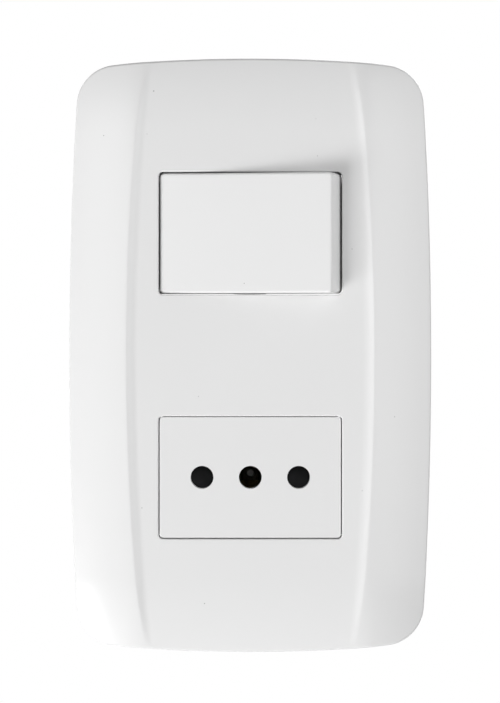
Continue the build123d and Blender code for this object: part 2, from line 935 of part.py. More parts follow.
with BuildPart() as switch_terminal_screws:
    terminal_screws(switch_terminal_places, switch_z)

switch_terminal_screws.part.label = "switch_terminal_screws"
export_step(switch_terminal_screws.part, "parts/switch_terminal_screws.step")


# Socket face: carrier with the front that shows in the lower window and the three pin holes
with BuildPart() as socket_face:
    carrier_form(carrier_length, socket_z)
    with BuildSketch(front(flange_top)):
        with Locations((0, socket_z)):
            RectangleRounded(face_width, face_length, face_corner)
    extrude(amount=face_height - flange_top)
    face_front = socket_face.faces().filter_by(Plane.XZ).sort_by(Axis.Y)[0]
    fillet(face_front.edges(), face_edge)
    carrier_legs(socket_z)
    slab(pocket_width, pocket_length, -carrier_back, face_back, z=socket_z, mode=Mode.SUBTRACT)
    with BuildSketch(front(face_back)):
        with Locations([(x, socket_z) for x in pin_places]):
            Circle(pin_hole_radius)
    extrude(amount=face_wall, mode=Mode.SUBTRACT)

socket_face.part.label = "socket_face"
export_step(socket_face.part, "parts/socket_face.step")


# Socket body: deck that the shutter slides on and three chambers for the contacts
rail_x = shutter_side + rail_gap + rail_width / 2
rail_low = -body_length / 2
rail_length = rail_top - rail_low
ledge_low = shutter_half + rail_gap
ledge_width = shutter_side + rail_gap - pin_spacing + stop_ledge_inset / 2

with BuildPart() as socket_body:
    slab(housing_width, housing_length, -housing_back, -carrier_back, z=socket_z)
    slab(body_width, body_length, -carrier_back, deck_height, z=socket_z)
    for sign in (-1, 1):
        slab(
            rail_width,
            rail_length,
            deck_height,
            shutter_front,
            x=sign * rail_x,
            z=socket_z + (rail_top + rail_low) / 2,
        )
        slab(
            ledge_width,
            rail_top - ledge_low,
            deck_height,
            shutter_front,
            x=sign * (shutter_side + rail_gap - ledge_width / 2),
            z=socket_z + (rail_top + ledge_low) / 2,
        )
    for x in pin_places:
        slab(chamber_width, cell_length, -housing_depth, deck_height, x=x, z=socket_z, mode=Mode.SUBTRACT)
    slab(
        core_width,
        core_height,
        -housing_back,
        -core_back_depth,
        z=socket_z - core_centre,
        mode=Mode.SUBTRACT,
    )
    slab(
        core_width,
        core_height,
        -core_front_depth,
        deck_height,
        z=socket_z + core_centre,
        mode=Mode.SUBTRACT,
    )
    wire_and_screw_holes(pin_places, socket_z)
    housing_nubs(socket_z)

socket_body.part.label = "socket_body"
export_step(socket_body.part, "parts/socket_body.step")


# Shutter: two ramped blades on a bar, with a slot for each spring
with BuildPart() as shutter:
    with BuildSketch(Plane.YZ.offset(-shutter_side)):
        with BuildLine():
            Polyline(
                (-shutter_back, socket_z - shutter_half - shutter_bar),
                (-shutter_front, socket_z - shutter_half - shutter_bar),
                (-shutter_front, socket_z - shutter_half),
                (shutter_ramp - shutter_front, socket_z + shutter_half),
                (-shutter_back, socket_z + shutter_half),
                close=True,
            )
        make_face()
    extrude(amount=2 * shutter_side)
    slab(
        2 * shutter_middle,
        2 * shutter_half,
        shutter_back,
        shutter_front,
        z=socket_z,
        mode=Mode.SUBTRACT,
    )
    for sign in (-1, 1):
        slab(
            shutter_pocket,
            shutter_half + shutter_bar + shutter_pocket_end,
            shutter_back,
            shutter_front,
            x=sign * shutter_spring_x,
            z=socket_z + (shutter_pocket_end - shutter_half - shutter_bar) / 2,
            mode=Mode.SUBTRACT,
        )

shutter.part.label = "shutter"
export_step(shutter.part, "parts/shutter.step")


# Shutter springs, between the socket face's lower wall and the shutter's slots
spring_foot = socket_z - pocket_length / 2 + spring_end_gap
spring_head = socket_z + shutter_pocket_end - spring_end_gap
spring_y = -(shutter_front + shutter_back) / 2

with BuildPart() as shutter_springs:
    for sign in (-1, 1):
        coil = coil_spring(
            (sign * shutter_spring_x, spring_y, spring_foot),
            (0, 0, 1),
            spring_head - spring_foot,
            shutter_spring_radius,
            shutter_spring_wire,
            shutter_coils,
        )
        add(coil)

shutter_springs.part.label = "shutter_springs"
export_step(shutter_springs.part, "parts/shutter_springs.step")


def pin_contact(name, x, front_depth, width):
    """Folded fork whose two leaves grip a pin, standing on its terminal block."""
    foot = terminal_front - contact_leaf / 2
    with BuildPart() as contact:
        with BuildSketch(level(socket_z - width / 2)):
            with BuildLine() as fold:
                FilletPolyline(
                    (x - leaf_mouth_half, front_depth),
                    (x - leaf_throat_half, leaf_throat_depth),
                    (x - leaf_foot_half, leaf_waist_depth),
                    (x - leaf_foot_half, foot),
                    (x + leaf_foot_half, foot),
                    (x + leaf_foot_half, leaf_waist_depth),
                    (x + leaf_throat_half, leaf_throat_depth),
                    (x + leaf_mouth_half, front_depth),
                    radius=leaf_bend,
                )
            trace(fold.line, contact_leaf)
        extrude(amount=width)
    contact.part.label = name
    export_step(contact.part, f"parts/{name}.step")


# Pin contacts: live and neutral end behind the shutter, earth reaches up behind the face
pin_contact("live_contact", -pin_spacing, leaf_front_depth, leaf_width)
pin_contact("neutral_contact", pin_spacing, leaf_front_depth, leaf_width)
pin_contact("earth_contact", 0, earth_front_depth, earth_leaf_width)


# Contact rivets: domed heads on the feet of the three contacts
with BuildPart() as contact_rivets:
    with BuildSketch(front(contact_leaf - terminal_front)):
        with Locations([(x, socket_z + rivet_lift) for x in pin_places]):
            Circle(rivet_radius)
    extrude(amount=rivet_height)
    fillet(contact_rivets.edges().group_by(Axis.Y)[0], rivet_height / 2)

contact_rivets.part.label = "contact_rivets"
export_step(contact_rivets.part, "parts/contact_rivets.step")


# Terminal blocks and screws of the socket
with BuildPart() as socket_terminals:
    terminal_blocks(pin_places, socket_z)

socket_terminals.part.label = "socket_terminals"
export_step(socket_terminals.part, "parts/socket_terminals.step")

with BuildPart() as socket_terminal_screws:
    terminal_screws(pin_places, socket_z)

socket_terminal_screws.part.label = "socket_terminal_screws"
export_step(socket_terminal_screws.part, "parts/socket_terminal_screws.step")
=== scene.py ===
"""Wall plate with a rocker switch above a three-pin socket, as a finished visual model."""

import logging
import math
from collections.abc import Callable, Iterable, Mapping, Sequence
from dataclasses import dataclass, field, fields
from enum import Enum
from functools import cached_property

import bmesh
import bpy
import numpy as np
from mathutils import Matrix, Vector
from mathutils.geometry import delaunay_2d_cdt

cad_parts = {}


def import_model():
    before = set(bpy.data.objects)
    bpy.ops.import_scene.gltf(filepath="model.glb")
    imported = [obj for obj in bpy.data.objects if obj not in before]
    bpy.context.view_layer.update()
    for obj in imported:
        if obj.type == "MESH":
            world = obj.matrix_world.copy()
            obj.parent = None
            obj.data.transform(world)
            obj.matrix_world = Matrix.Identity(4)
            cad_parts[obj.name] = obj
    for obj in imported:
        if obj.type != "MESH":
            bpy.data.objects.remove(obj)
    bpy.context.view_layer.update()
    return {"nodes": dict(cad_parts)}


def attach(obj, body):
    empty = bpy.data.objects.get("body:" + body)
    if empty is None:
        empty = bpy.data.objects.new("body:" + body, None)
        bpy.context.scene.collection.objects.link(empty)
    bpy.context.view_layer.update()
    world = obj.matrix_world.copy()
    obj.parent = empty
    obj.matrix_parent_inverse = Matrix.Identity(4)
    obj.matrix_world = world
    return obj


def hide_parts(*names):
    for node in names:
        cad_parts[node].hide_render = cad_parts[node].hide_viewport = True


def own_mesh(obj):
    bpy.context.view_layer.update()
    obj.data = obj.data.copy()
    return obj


LOG = logging.getLogger("wall_plate")
MM = 0.001
QUARTER_TURN = math.pi / 2
CHUNK = 2000
CDT_TOLERANCE = 1e-6
EDGE_SAMPLES = 6
PLAN_ATTRIBUTES = ("read_x", "read_z", "sunk", "follows")
SECTION_RATIOS = ("roll_sine", "roll_cosine")
SOCKET_KINDS = {float: "NodeSocketFloat", int: "NodeSocketInt", tuple: "NodeSocketVector"}

Point = tuple[float, float, float]
Rgb = tuple[float, float, float]
Placing = Callable[[float, float, float], Point]
Inputs = Mapping[str | int, object]
Border = tuple[list[int], np.ndarray]


def _math_method(operation: str, reflected: bool = False) -> Callable[..., "Value"]:
    """Return a method that adds one Math node.

    Args:
        operation: The Math node's operation.
        reflected: Whether self is its last term, not its first.

    Returns:
        The method, which takes the other terms.
    """

    def method(self: "Value", *others: "Number") -> "Value":
        """Return the Math node's result."""
        terms = (*others, self) if reflected else (self, *others)
        return self.maker.value("ShaderNodeMath", dict(enumerate(terms)), operation=operation)

    return method


class Value:
    """A number socket in a node tree; its operators add the Math nodes that a sum needs."""

    def __init__(self, maker: "NodeMaker", socket: bpy.types.NodeSocket) -> None:
        """Keep the socket and the maker of its tree."""
        self.maker = maker
        self.socket = socket

    __add__, __radd__ = _math_method("ADD"), _math_method("ADD", reflected=True)
    __sub__, __rsub__ = _math_method("SUBTRACT"), _math_method("SUBTRACT", reflected=True)
    __mul__, __rmul__ = _math_method("MULTIPLY"), _math_method("MULTIPLY", reflected=True)
    __truediv__, __rtruediv__ = _math_method("DIVIDE"), _math_method("DIVIDE", reflected=True)
    __lt__, __gt__ = _math_method("LESS_THAN"), _math_method("GREATER_THAN")
    __abs__ = _math_method("ABSOLUTE")
    square_root, fraction = _math_method("SQRT"), _math_method("FRACT")
    sine, cosine = _math_method("SINE"), _math_method("COSINE")
    lesser, greater = _math_method("MINIMUM"), _math_method("MAXIMUM")
    soft_lesser = _math_method("SMOOTH_MIN")

    def between(self, low: float, high: float) -> "Value":
        """Return 0 under low, 1 over high, and a smooth rise between them."""
        limits = {"Value": self, 1: low, 2: high}
        return self.maker.value("ShaderNodeMapRange", limits, interpolation_type="SMOOTHSTEP")


Number = Value | float | np.ndarray


class NodeMaker:
    """Adds nodes to one tree: a node's settings first, then what its sockets are given."""

    def __init__(self, tree: bpy.types.NodeTree) -> None:
        """Keep the tree that the nodes go in."""
        self.tree = tree

    def add(self, kind: str, inputs: Inputs | None = None, **settings: object) -> bpy.types.Node:
        """Add one node.

        Args:
            kind: The node's type.
            inputs: The value or link of each socket, by name or number.
            settings: Its properties.

        Returns:
            The new node.
        """
        node = self.tree.nodes.new(kind)
        for name, setting in settings.items():
            setattr(node, name, setting)
        for key, given in (inputs or {}).items():
            given = given.socket if isinstance(given, Value) else given
            if isinstance(given, bpy.types.NodeSocket):
                self.tree.links.new(given, node.inputs[key])
            else:
                node.inputs[key].default_value = given
        return node

    def out(
        self, kind: str, inputs: Inputs | None = None, **settings: object
    ) -> bpy.types.NodeSocket:
        """Add one node and return its first output."""
        return self.add(kind, inputs, **settings).outputs[0]

    def value(self, kind: str, inputs: Inputs | None = None, **settings: object) -> Value:
        """Add one node and return its first output, ready for sums."""
        return Value(self, self.out(kind, inputs, **settings))

    def noise(self, place: bpy.types.NodeSocket, scale: float, detail: float) -> Value:
        """Return a noise of so many waves in a metre, with finer layers to a level of detail."""
        return self.value("ShaderNodeTexNoise", {"Vector": place, "Scale": scale, "Detail": detail})

    def parts(self, vector: bpy.types.NodeSocket) -> list[Value]:
        """Return the three parts of a vector."""
        apart = self.add("ShaderNodeSeparateXYZ", {0: vector})
        return [Value(self, part) for part in apart.outputs]

    def vector(self, *parts: Value) -> bpy.types.NodeSocket:
        """Return the vector of three parts."""
        return self.out("ShaderNodeCombineXYZ", dict(enumerate(parts)))

    def blend(self, share: Value, first: object, second: object) -> bpy.types.NodeSocket:
        """Return the first colour where the share is 0 and the second where it is 1."""
        mixed = {0: share, 6: first, 7: second}
        return self.add("ShaderNodeMix", mixed, data_type="RGBA").outputs[2]


def fresh_nodes(owner: bpy.types.Material | bpy.types.World) -> NodeMaker:
    """Empty the node tree of a material or world.

    Args:
        owner: The material or world.

    Returns:
        The maker that fills its tree.
    """
    owner.use_nodes = True
    owner.node_tree.nodes.clear()
    return NodeMaker(owner.node_tree)


def square_root(number: Number) -> Number:
    """Return a square root, of an array or in a node tree."""
    return number.square_root() if isinstance(number, Value) else np.sqrt(number)


def other_leg(longest: Number, leg: Number) -> Number:
    """Return the other leg of a right triangle with a given longest side and leg."""
    return square_root(longest * longest - leg * leg)


def lesser(first: Number, second: Number) -> Number:
    """Return the smaller of two numbers, in an array or in a node tree."""
    return first.lesser(second) if isinstance(first, Value) else np.minimum(first, second)


def greater(first: Number, second: Number) -> Number:
    """Return the larger of two numbers, in an array or in a node tree."""
    return first.greater(second) if isinstance(first, Value) else np.maximum(first, second)


def soft_lesser(first: Number, second: Number, width: Number) -> Number:
    """Return the smaller of two numbers, rounded over where they are within a width.

    Args:
        first: An array or a value in a node tree.
        second: The same kind.
        width: The difference under which the two run into each other.

    Returns:
        The rounded minimum, by the rule that Blender's own Math node follows.
    """
    if isinstance(first, Value):
        return first.soft_lesser(second, width)
    near = np.maximum(width - np.abs(first - second), 0.0) / width
    return np.minimum(first, second) - near**3 * width / 6


def nearest(points: np.ndarray, places: np.ndarray) -> tuple[np.ndarray, np.ndarray]:
    """Find the place nearest to each point.

    Args:
        points: The points, a row for each.
        places: The places, a row for each.

    Returns:
        The number of each point's nearest place, and the way from there to the point.
    """
    numbers = np.concatenate([
        np.argmin(((part[:, None] - places[None]) ** 2).sum(2), axis=1)
        for part in np.array_split(points, len(points) // CHUNK + 1)
    ])
    return numbers, points - places[numbers]


def raised(places: np.ndarray, height: float | np.ndarray = 0.0) -> np.ndarray:
    """Return points over places on the wall, at one height or at one for each."""
    return np.column_stack([places[:, 0], -np.broadcast_to(height, len(places)), places[:, 1]])


def put_in_scene(name: str, data: bpy.types.ID) -> bpy.types.Object:
    """Make an object at the origin and link it to the scene.

    Args:
        name: Its name.
        data: Its mesh, lamp or camera.

    Returns:
        The object.
    """
    made = bpy.data.objects.new(name, data)
    bpy.context.scene.collection.objects.link(made)
    return made


@dataclass
class MeshPlan:
    """Points and faces of a mesh in the making, in millimetres."""

    points: list[Point] = field(default_factory=list)
    faces: list[Sequence[int]] = field(default_factory=list)

    def add_points(self, points: Iterable[Sequence[float]]) -> list[int]:
        """Add points.

        Args:
            points: Their places in millimetres.

        Returns:
            The number of each point, in order.
        """
        start = len(self.points)
        self.points.extend(tuple(float(c) for c in p) for p in points)
        return list(range(start, len(self.points)))

    def bridge(self, first: Sequence[int], second: Sequence[int]) -> None:
        """Join two closed loops with a strip of faces.

        Args:
            first: The numbers of one loop's points.
            second: As many of the other's.
        """
        count = len(first)
        for i in range(count):
            j = (i + 1) % count
            self.faces.append((first[i], first[j], second[j], second[i]))

    def stack(self, rings: Iterable[Iterable[Sequence[float]]]) -> None:
        """Add a closed body.

        Args:
            rings: The points of each ring, as many in each, from one end to the other.
        """
        numbered = [self.add_points(ring) for ring in rings]
        self.faces.append(numbered[0][::-1])
        for first, second in zip(numbered, numbered[1:]):
            self.bridge(first, second)
        self.faces.append(numbered[-1])

    def to_object(self, name: str) -> bpy.types.Object:
        """Make a Blender object of the plan, in metres.

        Args:
            name: The object's name.

        Returns:
            The object, in the scene.
        """
        mesh = bpy.data.meshes.new(name)
        mesh.from_pydata([tuple(c * MM for c in p) for p in self.points], [], self.faces)
        return put_in_scene(name, mesh)


def finish_mesh(mesh: bpy.types.Mesh, angle: float) -> None:
    """Turn every face outwards and shade the mesh smooth, but for its sharp edges.

    Args:
        mesh: The mesh.
        angle: The angle in degrees over which an edge is sharp.
    """
    work = bmesh.new()
    work.from_mesh(mesh)
    bmesh.ops.recalc_face_normals(work, faces=work.faces)
    work.to_mesh(mesh)
    work.free()
    mesh.polygons.foreach_set("use_smooth", np.ones(len(mesh.polygons), bool))
    mesh.set_sharp_from_angle(angle=math.radians(angle))


def plain_copy(source: bpy.types.Object, name: str) -> bpy.types.Object:
    """Make a plain mesh object of an object as its modifiers leave it, and delete the first.

    Args:
        source: The object with live modifiers.
        name: The new object's name.

    Returns:
        The new object, at the origin, with no modifier.
    """
    bpy.context.view_layer.update()
    graph = bpy.context.evaluated_depsgraph_get()
    mesh = bpy.data.meshes.new_from_object(source.evaluated_get(graph), depsgraph=graph)
    bpy.data.objects.remove(source)
    mesh.name = name
    return put_in_scene(name, mesh)


def joined(name: str, parts: Sequence[bpy.types.Object]) -> bpy.types.Object:
    """Make one plain object of several, and delete them.

    Args:
        name: The new object's name.
        parts: The objects to join, each at the origin.

    Returns:
        The joined object.
    """
    work = bmesh.new()
    for part in parts:
        work.from_mesh(part.data)
        bpy.data.objects.remove(part)
    mesh = bpy.data.meshes.new(name)
    work.to_mesh(mesh)
    work.free()
    return put_in_scene(name, mesh)


def wear(piece: bpy.types.Object, material: bpy.types.Material) -> None:
    """Give a piece one material in every slot.

    Args:
        piece: The piece or CAD node to dress.
        material: Its finish.
    """
    slots = piece.data.materials
    for number in range(len(slots)):
        slots[number] = material
    if not slots:
        slots.append(material)


def end_shader(maker: NodeMaker, relief: Value, edge_round: float, inputs: Inputs) -> None:
    """End a finish with its bump, over softly rounded edges, its shader and the output.

    Args:
        maker: Adds the nodes.
        relief: The surface's height, in metres.
        edge_round: The radius that edges seem to have, in millimetres; 0 leaves them sharp.
        inputs: What the shader is given besides its normal.
    """
    bumped = {"Distance": 1.0, "Height": relief}
    if edge_round > 0:
        radius = {"Radius": edge_round * MM}
        bumped["Normal"] = maker.out("ShaderNodeBevel", radius, samples=EDGE_SAMPLES)
    normal = maker.out("ShaderNodeBump", bumped)
    shader = maker.out("ShaderNodeBsdfPrincipled", {**inputs, "Normal": normal})
    maker.add("ShaderNodeOutputMaterial", {"Surface": shader})


@dataclass(frozen=True)
class MouldMark:
    """What a mould leaves on a surface, with the heights in millimetres."""

    roughness: float
    spread: float
    grain_height: float
    wave_height: float
    shine: float


class Surface(Enum):
    """How a moulded surface comes out of its mould."""

    POLISHED = MouldMark(0.24, 0.05, 0.002, 0.009, 0.5)
    SATIN = MouldMark(0.42, 0.06, 0.005, 0.012, 0.5)
    SPARKED = MouldMark(0.55, 0.10, 0.022, 0.010, 0.4)
    DULL = MouldMark(0.68, 0.10, 0.012, 0.010, 0.12)


@dataclass(frozen=True)
class MouldedPlastic:
    """Moulded plastic with the faint waviness, mould texture and specks of a used tool."""

    name: str
    colour: Rgb
    surface: Surface
    specks: tuple[Point, ...] = ()
    edge_round: float = 0.0
    wave_scale: float = 38.0
    grain_scale: float = 5200.0
    smudge_scale: float = 190.0
    tone_drift: float = 0.012
    speck_tone: float = 0.45
    refraction: float = 1.47

    def make(self) -> bpy.types.Material:
        """Build the material.

        Returns:
            The material.
        """
        mark = self.surface.value
        material = bpy.data.materials.new(self.name)
        maker = fresh_nodes(material)
        place = maker.add("ShaderNodeTexCoord").outputs["Object"]
        wave = maker.noise(place, self.wave_scale, detail=2.0)
        grain = maker.noise(place, self.grain_scale, detail=3.0)
        smudge = maker.noise(place, self.smudge_scale, detail=4.0)
        base = maker.blend(wave, self._toned(1 - self.tone_drift), self._toned(1 + self.tone_drift))
        if self.specks:
            base = maker.blend(self._speck_mask(maker, place), base, self._toned(self.speck_tone))
        dullness = mark.roughness + (smudge - 0.5) * mark.spread + (grain - 0.5) * (mark.spread / 2)
        relief = wave * (mark.wave_height * MM) + grain * (mark.grain_height * MM)
        looks = {"Base Color": base, "Roughness": dullness, "IOR": self.refraction}
        end_shader(maker, relief, self.edge_round, {**looks, "Specular IOR Level": mark.shine})
        return material

    def _toned(self, share: float) -> tuple[float, ...]:
        """Return the plastic's colour times a share."""
        return (*(min(1.0, c * share) for c in self.colour), 1.0)

    def _speck_mask(self, maker: NodeMaker, place: bpy.types.NodeSocket) -> Value:
        """Mark the dark specks.

        Args:
            maker: Adds the nodes.
            place: The place on the surface.

        Returns:
            1 inside the specks and 0 elsewhere, seen along the wall's normal.
        """
        across, _, up = maker.parts(place)
        mask: Number = 0.0
        for x, z, size in self.specks:
            aside = across - x * MM
            above = up - z * MM
            away = (aside * aside + above * above).square_root()
            mask = mask + (1 - away.between(size / 2 * MM, size * MM))
        return mask


@dataclass(frozen=True)
class WorkedMetal:
    """Stamped, drawn or plated metal with fine lines along one way and a few dull patches."""

    name: str
    colour: Rgb
    roughness: float
    lines: Point
    tarnish: Rgb
    tarnish_share: float = 0.25
    edge_round: float = 0.12
    patch_scale: float = 420.0
    patch_limits: tuple[float, float] = (0.42, 0.72)
    line_spread: float = 0.22
    tarnish_dullness: float = 0.5
    line_height: float = 0.004

    def make(self) -> bpy.types.Material:
        """Build the material.

        Returns:
            The material.
        """
        material = bpy.data.materials.new(self.name)
        maker = fresh_nodes(material)
        place = maker.add("ShaderNodeTexCoord").outputs["Object"]
        drawn = maker.out("ShaderNodeVectorMath", {0: place, 1: self.lines}, operation="MULTIPLY")
        streak = maker.noise(drawn, 1.0, detail=3.0)
        patch = maker.noise(place, self.patch_scale, detail=5.0)
        dulled = patch.between(*self.patch_limits) * self.tarnish_share
        base = maker.blend(dulled, (*self.colour, 1.0), (*self.tarnish, 1.0))
        lined = self.roughness + (streak - 0.5) * self.line_spread
        roughness = lined + dulled * self.tarnish_dullness
        looks = {"Base Color": base, "Metallic": 1.0, "Roughness": roughness}
        end_shader(maker, streak * (self.line_height * MM), self.edge_round, looks)
        return material


PLATE_SPECKS = (
    (-19.0, 52.0, 0.16),
    (-28.9, 43.3, 0.13),
    (-20.3, 43.5, 0.09),
    (12.9, 46.5, 0.08),
    (13.2, 39.2, 0.10),
    (20.0, 20.9, 0.11),
    (28.4, -12.1, 0.12),
    (22.0, -26.6, 0.10),
    (-10.2, -8.1, 0.10),
    (-21.3, -30.0, 0.12),
    (-9.0, -48.8, 0.14),
)
KEY_SPECKS = ((-1.2, 14.1, 0.12),)
FINE_LINES = (2400, 2400, 2400)


class Finish(Enum):
    """The finishes of the object, each with the record's slot that it belongs to."""

    PLATE = MouldedPlastic("plate_white", (0.80, 0.80, 0.80), Surface.POLISHED, PLATE_SPECKS)
    KEY = MouldedPlastic("key_white", (0.83, 0.83, 0.83), Surface.POLISHED, KEY_SPECKS)
    FACE = MouldedPlastic("face_white", (0.80, 0.80, 0.80), Surface.POLISHED)
    FRAME = MouldedPlastic("frame_white", (0.75, 0.76, 0.76), Surface.SATIN, edge_round=0.3)
    # Partly painted shade: a dark plastic body, kept this dark also so that the thin gaps round the
    # key read black as shade.
    HOUSING = MouldedPlastic("housing_dark", (0.05, 0.05, 0.055), Surface.SPARKED, edge_round=0.35)
    SHUTTER = MouldedPlastic("shutter_dark", (0.02, 0.02, 0.021), Surface.DULL)
    # Painted shade: the rivet's steel is darker than the screws', to stand for the shade at the
    # foot of the contacts behind the pin holes.
    RIVET_PAINTED_SHADE = WorkedMetal("screw_steel", (0.40, 0.40, 0.39), 0.46, FINE_LINES, (0.3, 0.29, 0.27))
    SPRING = WorkedMetal("spring_steel", (0.60,) * 3, 0.28, (900, 900, 9000), (0.34, 0.33, 0.31))
    SCREW = WorkedMetal("screw_steel", (0.62, 0.62, 0.60), 0.32, FINE_LINES, (0.45, 0.44, 0.40))
    BRASS = WorkedMetal(
        "contact_brass", (0.66, 0.50, 0.26), 0.46, (700, 5200, 700), (0.46, 0.31, 0.14)
    )
    # Painted shade: this brass is darker than the strips' brass, so that the terminals seen deep
    # through the pin holes stay dark.
    TERMINAL = WorkedMetal(
        "contact_brass", (0.50, 0.38, 0.20), 0.70, (700, 700, 5200), (0.30, 0.20, 0.10), 0.4
    )
    # Painted shade: this bronze and its tarnish are far darker than the metal's own, to stand for
    # the shade on the contacts deep inside the pin holes.
    BRONZE = WorkedMetal(
        "contact_bronze", (0.16, 0.14, 0.11), 0.62, (900, 4200, 900), (0.08, 0.07, 0.06)
    )
    SILVER = WorkedMetal("contact_silver", (0.80, 0.80, 0.79), 0.34, (3200,) * 3, (0.5, 0.49, 0.46))

    def material(self) -> bpy.types.Material:
        """Build the finish's material, or find it after the first time.

        Returns:
            The material.
        """
        name = f"{self.name.lower()}_finish"
        ready = bpy.data.materials.get(name)
        if ready is None:
            ready = self.value.make()
            ready.name = name
        return ready

    @property
    def slot(self) -> str:
        """The record's slot that this finish belongs to."""
        return self.value.name


def settle(piece: bpy.types.Object, body: str, finish: Finish, *nodes: str) -> None:
    """Dress a finished piece, make it ride on its body and let it stand for its CAD nodes.

    Args:
        piece: The finished mesh at the origin.
        body: The body that it moves with.
        finish: Its finish.
        nodes: The CAD nodes that it stands for.
    """
    wear(piece, finish.material())
    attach(piece, body)
    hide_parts(*nodes)
    LOG.info("%s: %d faces on %s", piece.name, len(piece.data.polygons), body)


class PieceTree:
    """Geometry node tree with named sizes, which ends in real meshes in a finish."""

    taken = "Places"
    result = "Pieces"

    def __init__(
        self, name: str, sizes: Mapping[str, object], material: bpy.types.Material
    ) -> None:
        """Build the tree.

        Args:
            name: The tree's name.
            sizes: What each input is given, by its name.
            material: The finish that the tree sets.
        """
        self.tree = bpy.data.node_groups.new(name, "GeometryNodeTree")
        self.settings: dict[str, object] = {}
        face = self.tree.interface
        face.new_socket(self.taken, in_out="INPUT", socket_type="NodeSocketGeometry")
        for label, size in sizes.items():
            socket = face.new_socket(label, in_out="INPUT", socket_type=SOCKET_KINDS[type(size)])
            self.settings[socket.identifier] = size
        face.new_socket(self.result, in_out="OUTPUT", socket_type="NodeSocketGeometry")
        self.maker = NodeMaker(self.tree)
        self.given = self.maker.add("NodeGroupInput").outputs
        real = self.maker.out("GeometryNodeRealizeInstances", {0: self.shape()})
        dressed = self.maker.out("GeometryNodeSetMaterial", {0: real, "Material": material})
        self.maker.add("NodeGroupOutput", {0: dressed})

    def shape(self) -> bpy.types.NodeSocket:
        """Add the nodes that make the tree's shape and return its socket."""
        raise NotImplementedError

    def stand(self, piece: bpy.types.NodeSocket) -> bpy.types.NodeSocket:
        """Set a piece on each point that the tree takes.

        Args:
            piece: The piece's mesh.

        Returns:
            The pieces as instances, turned as the tree is told.
        """
        points = self.maker.out("GeometryNodeMeshToPoints", {0: self.given[self.taken]})
        standing = {"Points": points, "Instance": piece, "Rotation": self.given["Turn"]}
        return self.maker.out("GeometryNodeInstanceOnPoints", standing)

    def run(self, start: bpy.types.Object, name: str) -> bpy.types.Object:
        """Run the tree, with every size set by its socket's identifier.

        Args:
            start: The object that the tree takes, which is used up.
            name: The result's name.

        Returns:
            The result as a plain mesh.
        """
        modifier = start.modifiers.new(self.tree.name, "NODES")
        modifier.node_group = self.tree
        for identifier, size in self.settings.items():
            modifier[identifier] = size
        return plain_copy(start, name)


@dataclass(frozen=True)
class PlateSection:
    """Sizes that give the plate's height at any place: numbers, or inputs of a node tree."""

    flat_half: Number
    shoulder_radius: Number
    shoulder_reach: Number
    wing_radius: Number
    wing_lead: Number
    wing_depth: Number
    crown_radius: Number
    crown_height: Number
    roll_radius: Number
    roll_start: Number
    roll_sine: Number
    roll_cosine: Number
    panel_height: Number
    panel_flat: Number
    panel_roll_radius: Number
    blend_radius: Number
    blend_limit: Number
    blend_start: Number
    bow_offset: Number
    ridge_round: Number

    def drop(self, x: Number) -> Number:
        """Find how far the section has fallen.

        Args:
            x: The distance from the plate's middle.

        Returns:
            The fall of the shoulder and of the wing.
        """
        aside = greater(abs(x) - self.flat_half, 0.0)
        near = lesser(aside, self.shoulder_reach)
        far = greater(aside, self.shoulder_reach) - self.shoulder_reach + self.wing_lead
        shoulder = self.shoulder_radius - other_leg(self.shoulder_radius, near)
        wing = self.wing_depth - other_leg(self.wing_radius, far)
        return shoulder + wing

    def crowned(self, x: Number, z: Number) -> Number:
        """Find the height of the crowned form, without the sunk panel.

        Args:
            x: The place across the plate.
            z: The place up the plate.

        Returns:
            The height over the wall.
        """
        drop = self.drop(x)
        crown = self.crown_radius - drop
        roll = self.roll_radius - drop
        change = crown * self.roll_sine
        near = lesser(change, abs(z))
        far = greater(change, abs(z)) - self.roll_start
        along_crown = other_leg(crown, near) - self.crown_radius + self.crown_height
        along_roll = other_leg(roll, far) - roll * self.roll_cosine
        return along_crown + along_roll

    def room(self, x: Number, z: Number) -> Number:
        """Find the height of the sunk panel and of the hollow blend that rises to the crest.

        Args:
            x: The place across the plate.
            z: The place up the plate.

        Returns:
            The height over the wall.
        """
        across = abs(x) + self.bow_offset
        reach = square_root(across * across + z * z) - self.blend_start
        inside = lesser(greater(reach, 0.0), self.blend_limit)
        past = greater(abs(z) - self.panel_flat, 0.0)
        blend = self.blend_radius - other_leg(self.blend_radius, inside)
        roll = self.panel_roll_radius - other_leg(self.panel_roll_radius, past)
        return self.panel_height + blend - roll

    def height(self, x: Number, z: Number) -> Number:
        """Return the height of the finished front, with its crests a little rounded."""
        return soft_lesser(self.crowned(x, z), self.room(x, z), self.ridge_round)


class FormTree(PieceTree):
    """Node tree that raises a flat plan to the plate's crowned front."""

    taken = "Plan"
    result = "Front"

    def shape(self) -> bpy.types.NodeSocket:
        """Add the nodes that move each front point to its height.

        Returns:
            The raised plan.
        """
        maker, given = self.maker, self.given
        sizes = PlateSection(*(Value(maker, given[size.name]) for size in fields(PlateSection)))
        x, z, sunk, follows = (
            maker.value("GeometryNodeInputNamedAttribute", {"Name": name}, data_type="FLOAT")
            for name in PLAN_ATTRIBUTES
        )
        across, depth, up = maker.parts(maker.out("GeometryNodeInputPosition"))
        front = depth * (1 - follows) - (sizes.height(x, z) - sunk) * follows
        place = maker.vector(across, front, up)
        moved = {"Geometry": given[self.taken], "Position": place}
        return maker.out("GeometryNodeSetPosition", moved)


@dataclass(frozen=True)
class Outline:
    """A closed outline on the wall: its points, and the way outwards at each."""

    points: np.ndarray
    out: np.ndarray

    def inset(self, distance: float | np.ndarray) -> "Outline":
        """Return the outline moved inwards, by one distance or by one for each point."""
        return Outline(self.points - self.out * np.reshape(distance, (-1, 1)), self.out)

    def holds(self, points: np.ndarray, margin: float) -> np.ndarray:
        """Return which points lie inside the outline by more than a margin."""
        numbers, apart = nearest(points, self.points)
        return (apart * self.out[numbers]).sum(1) < -margin


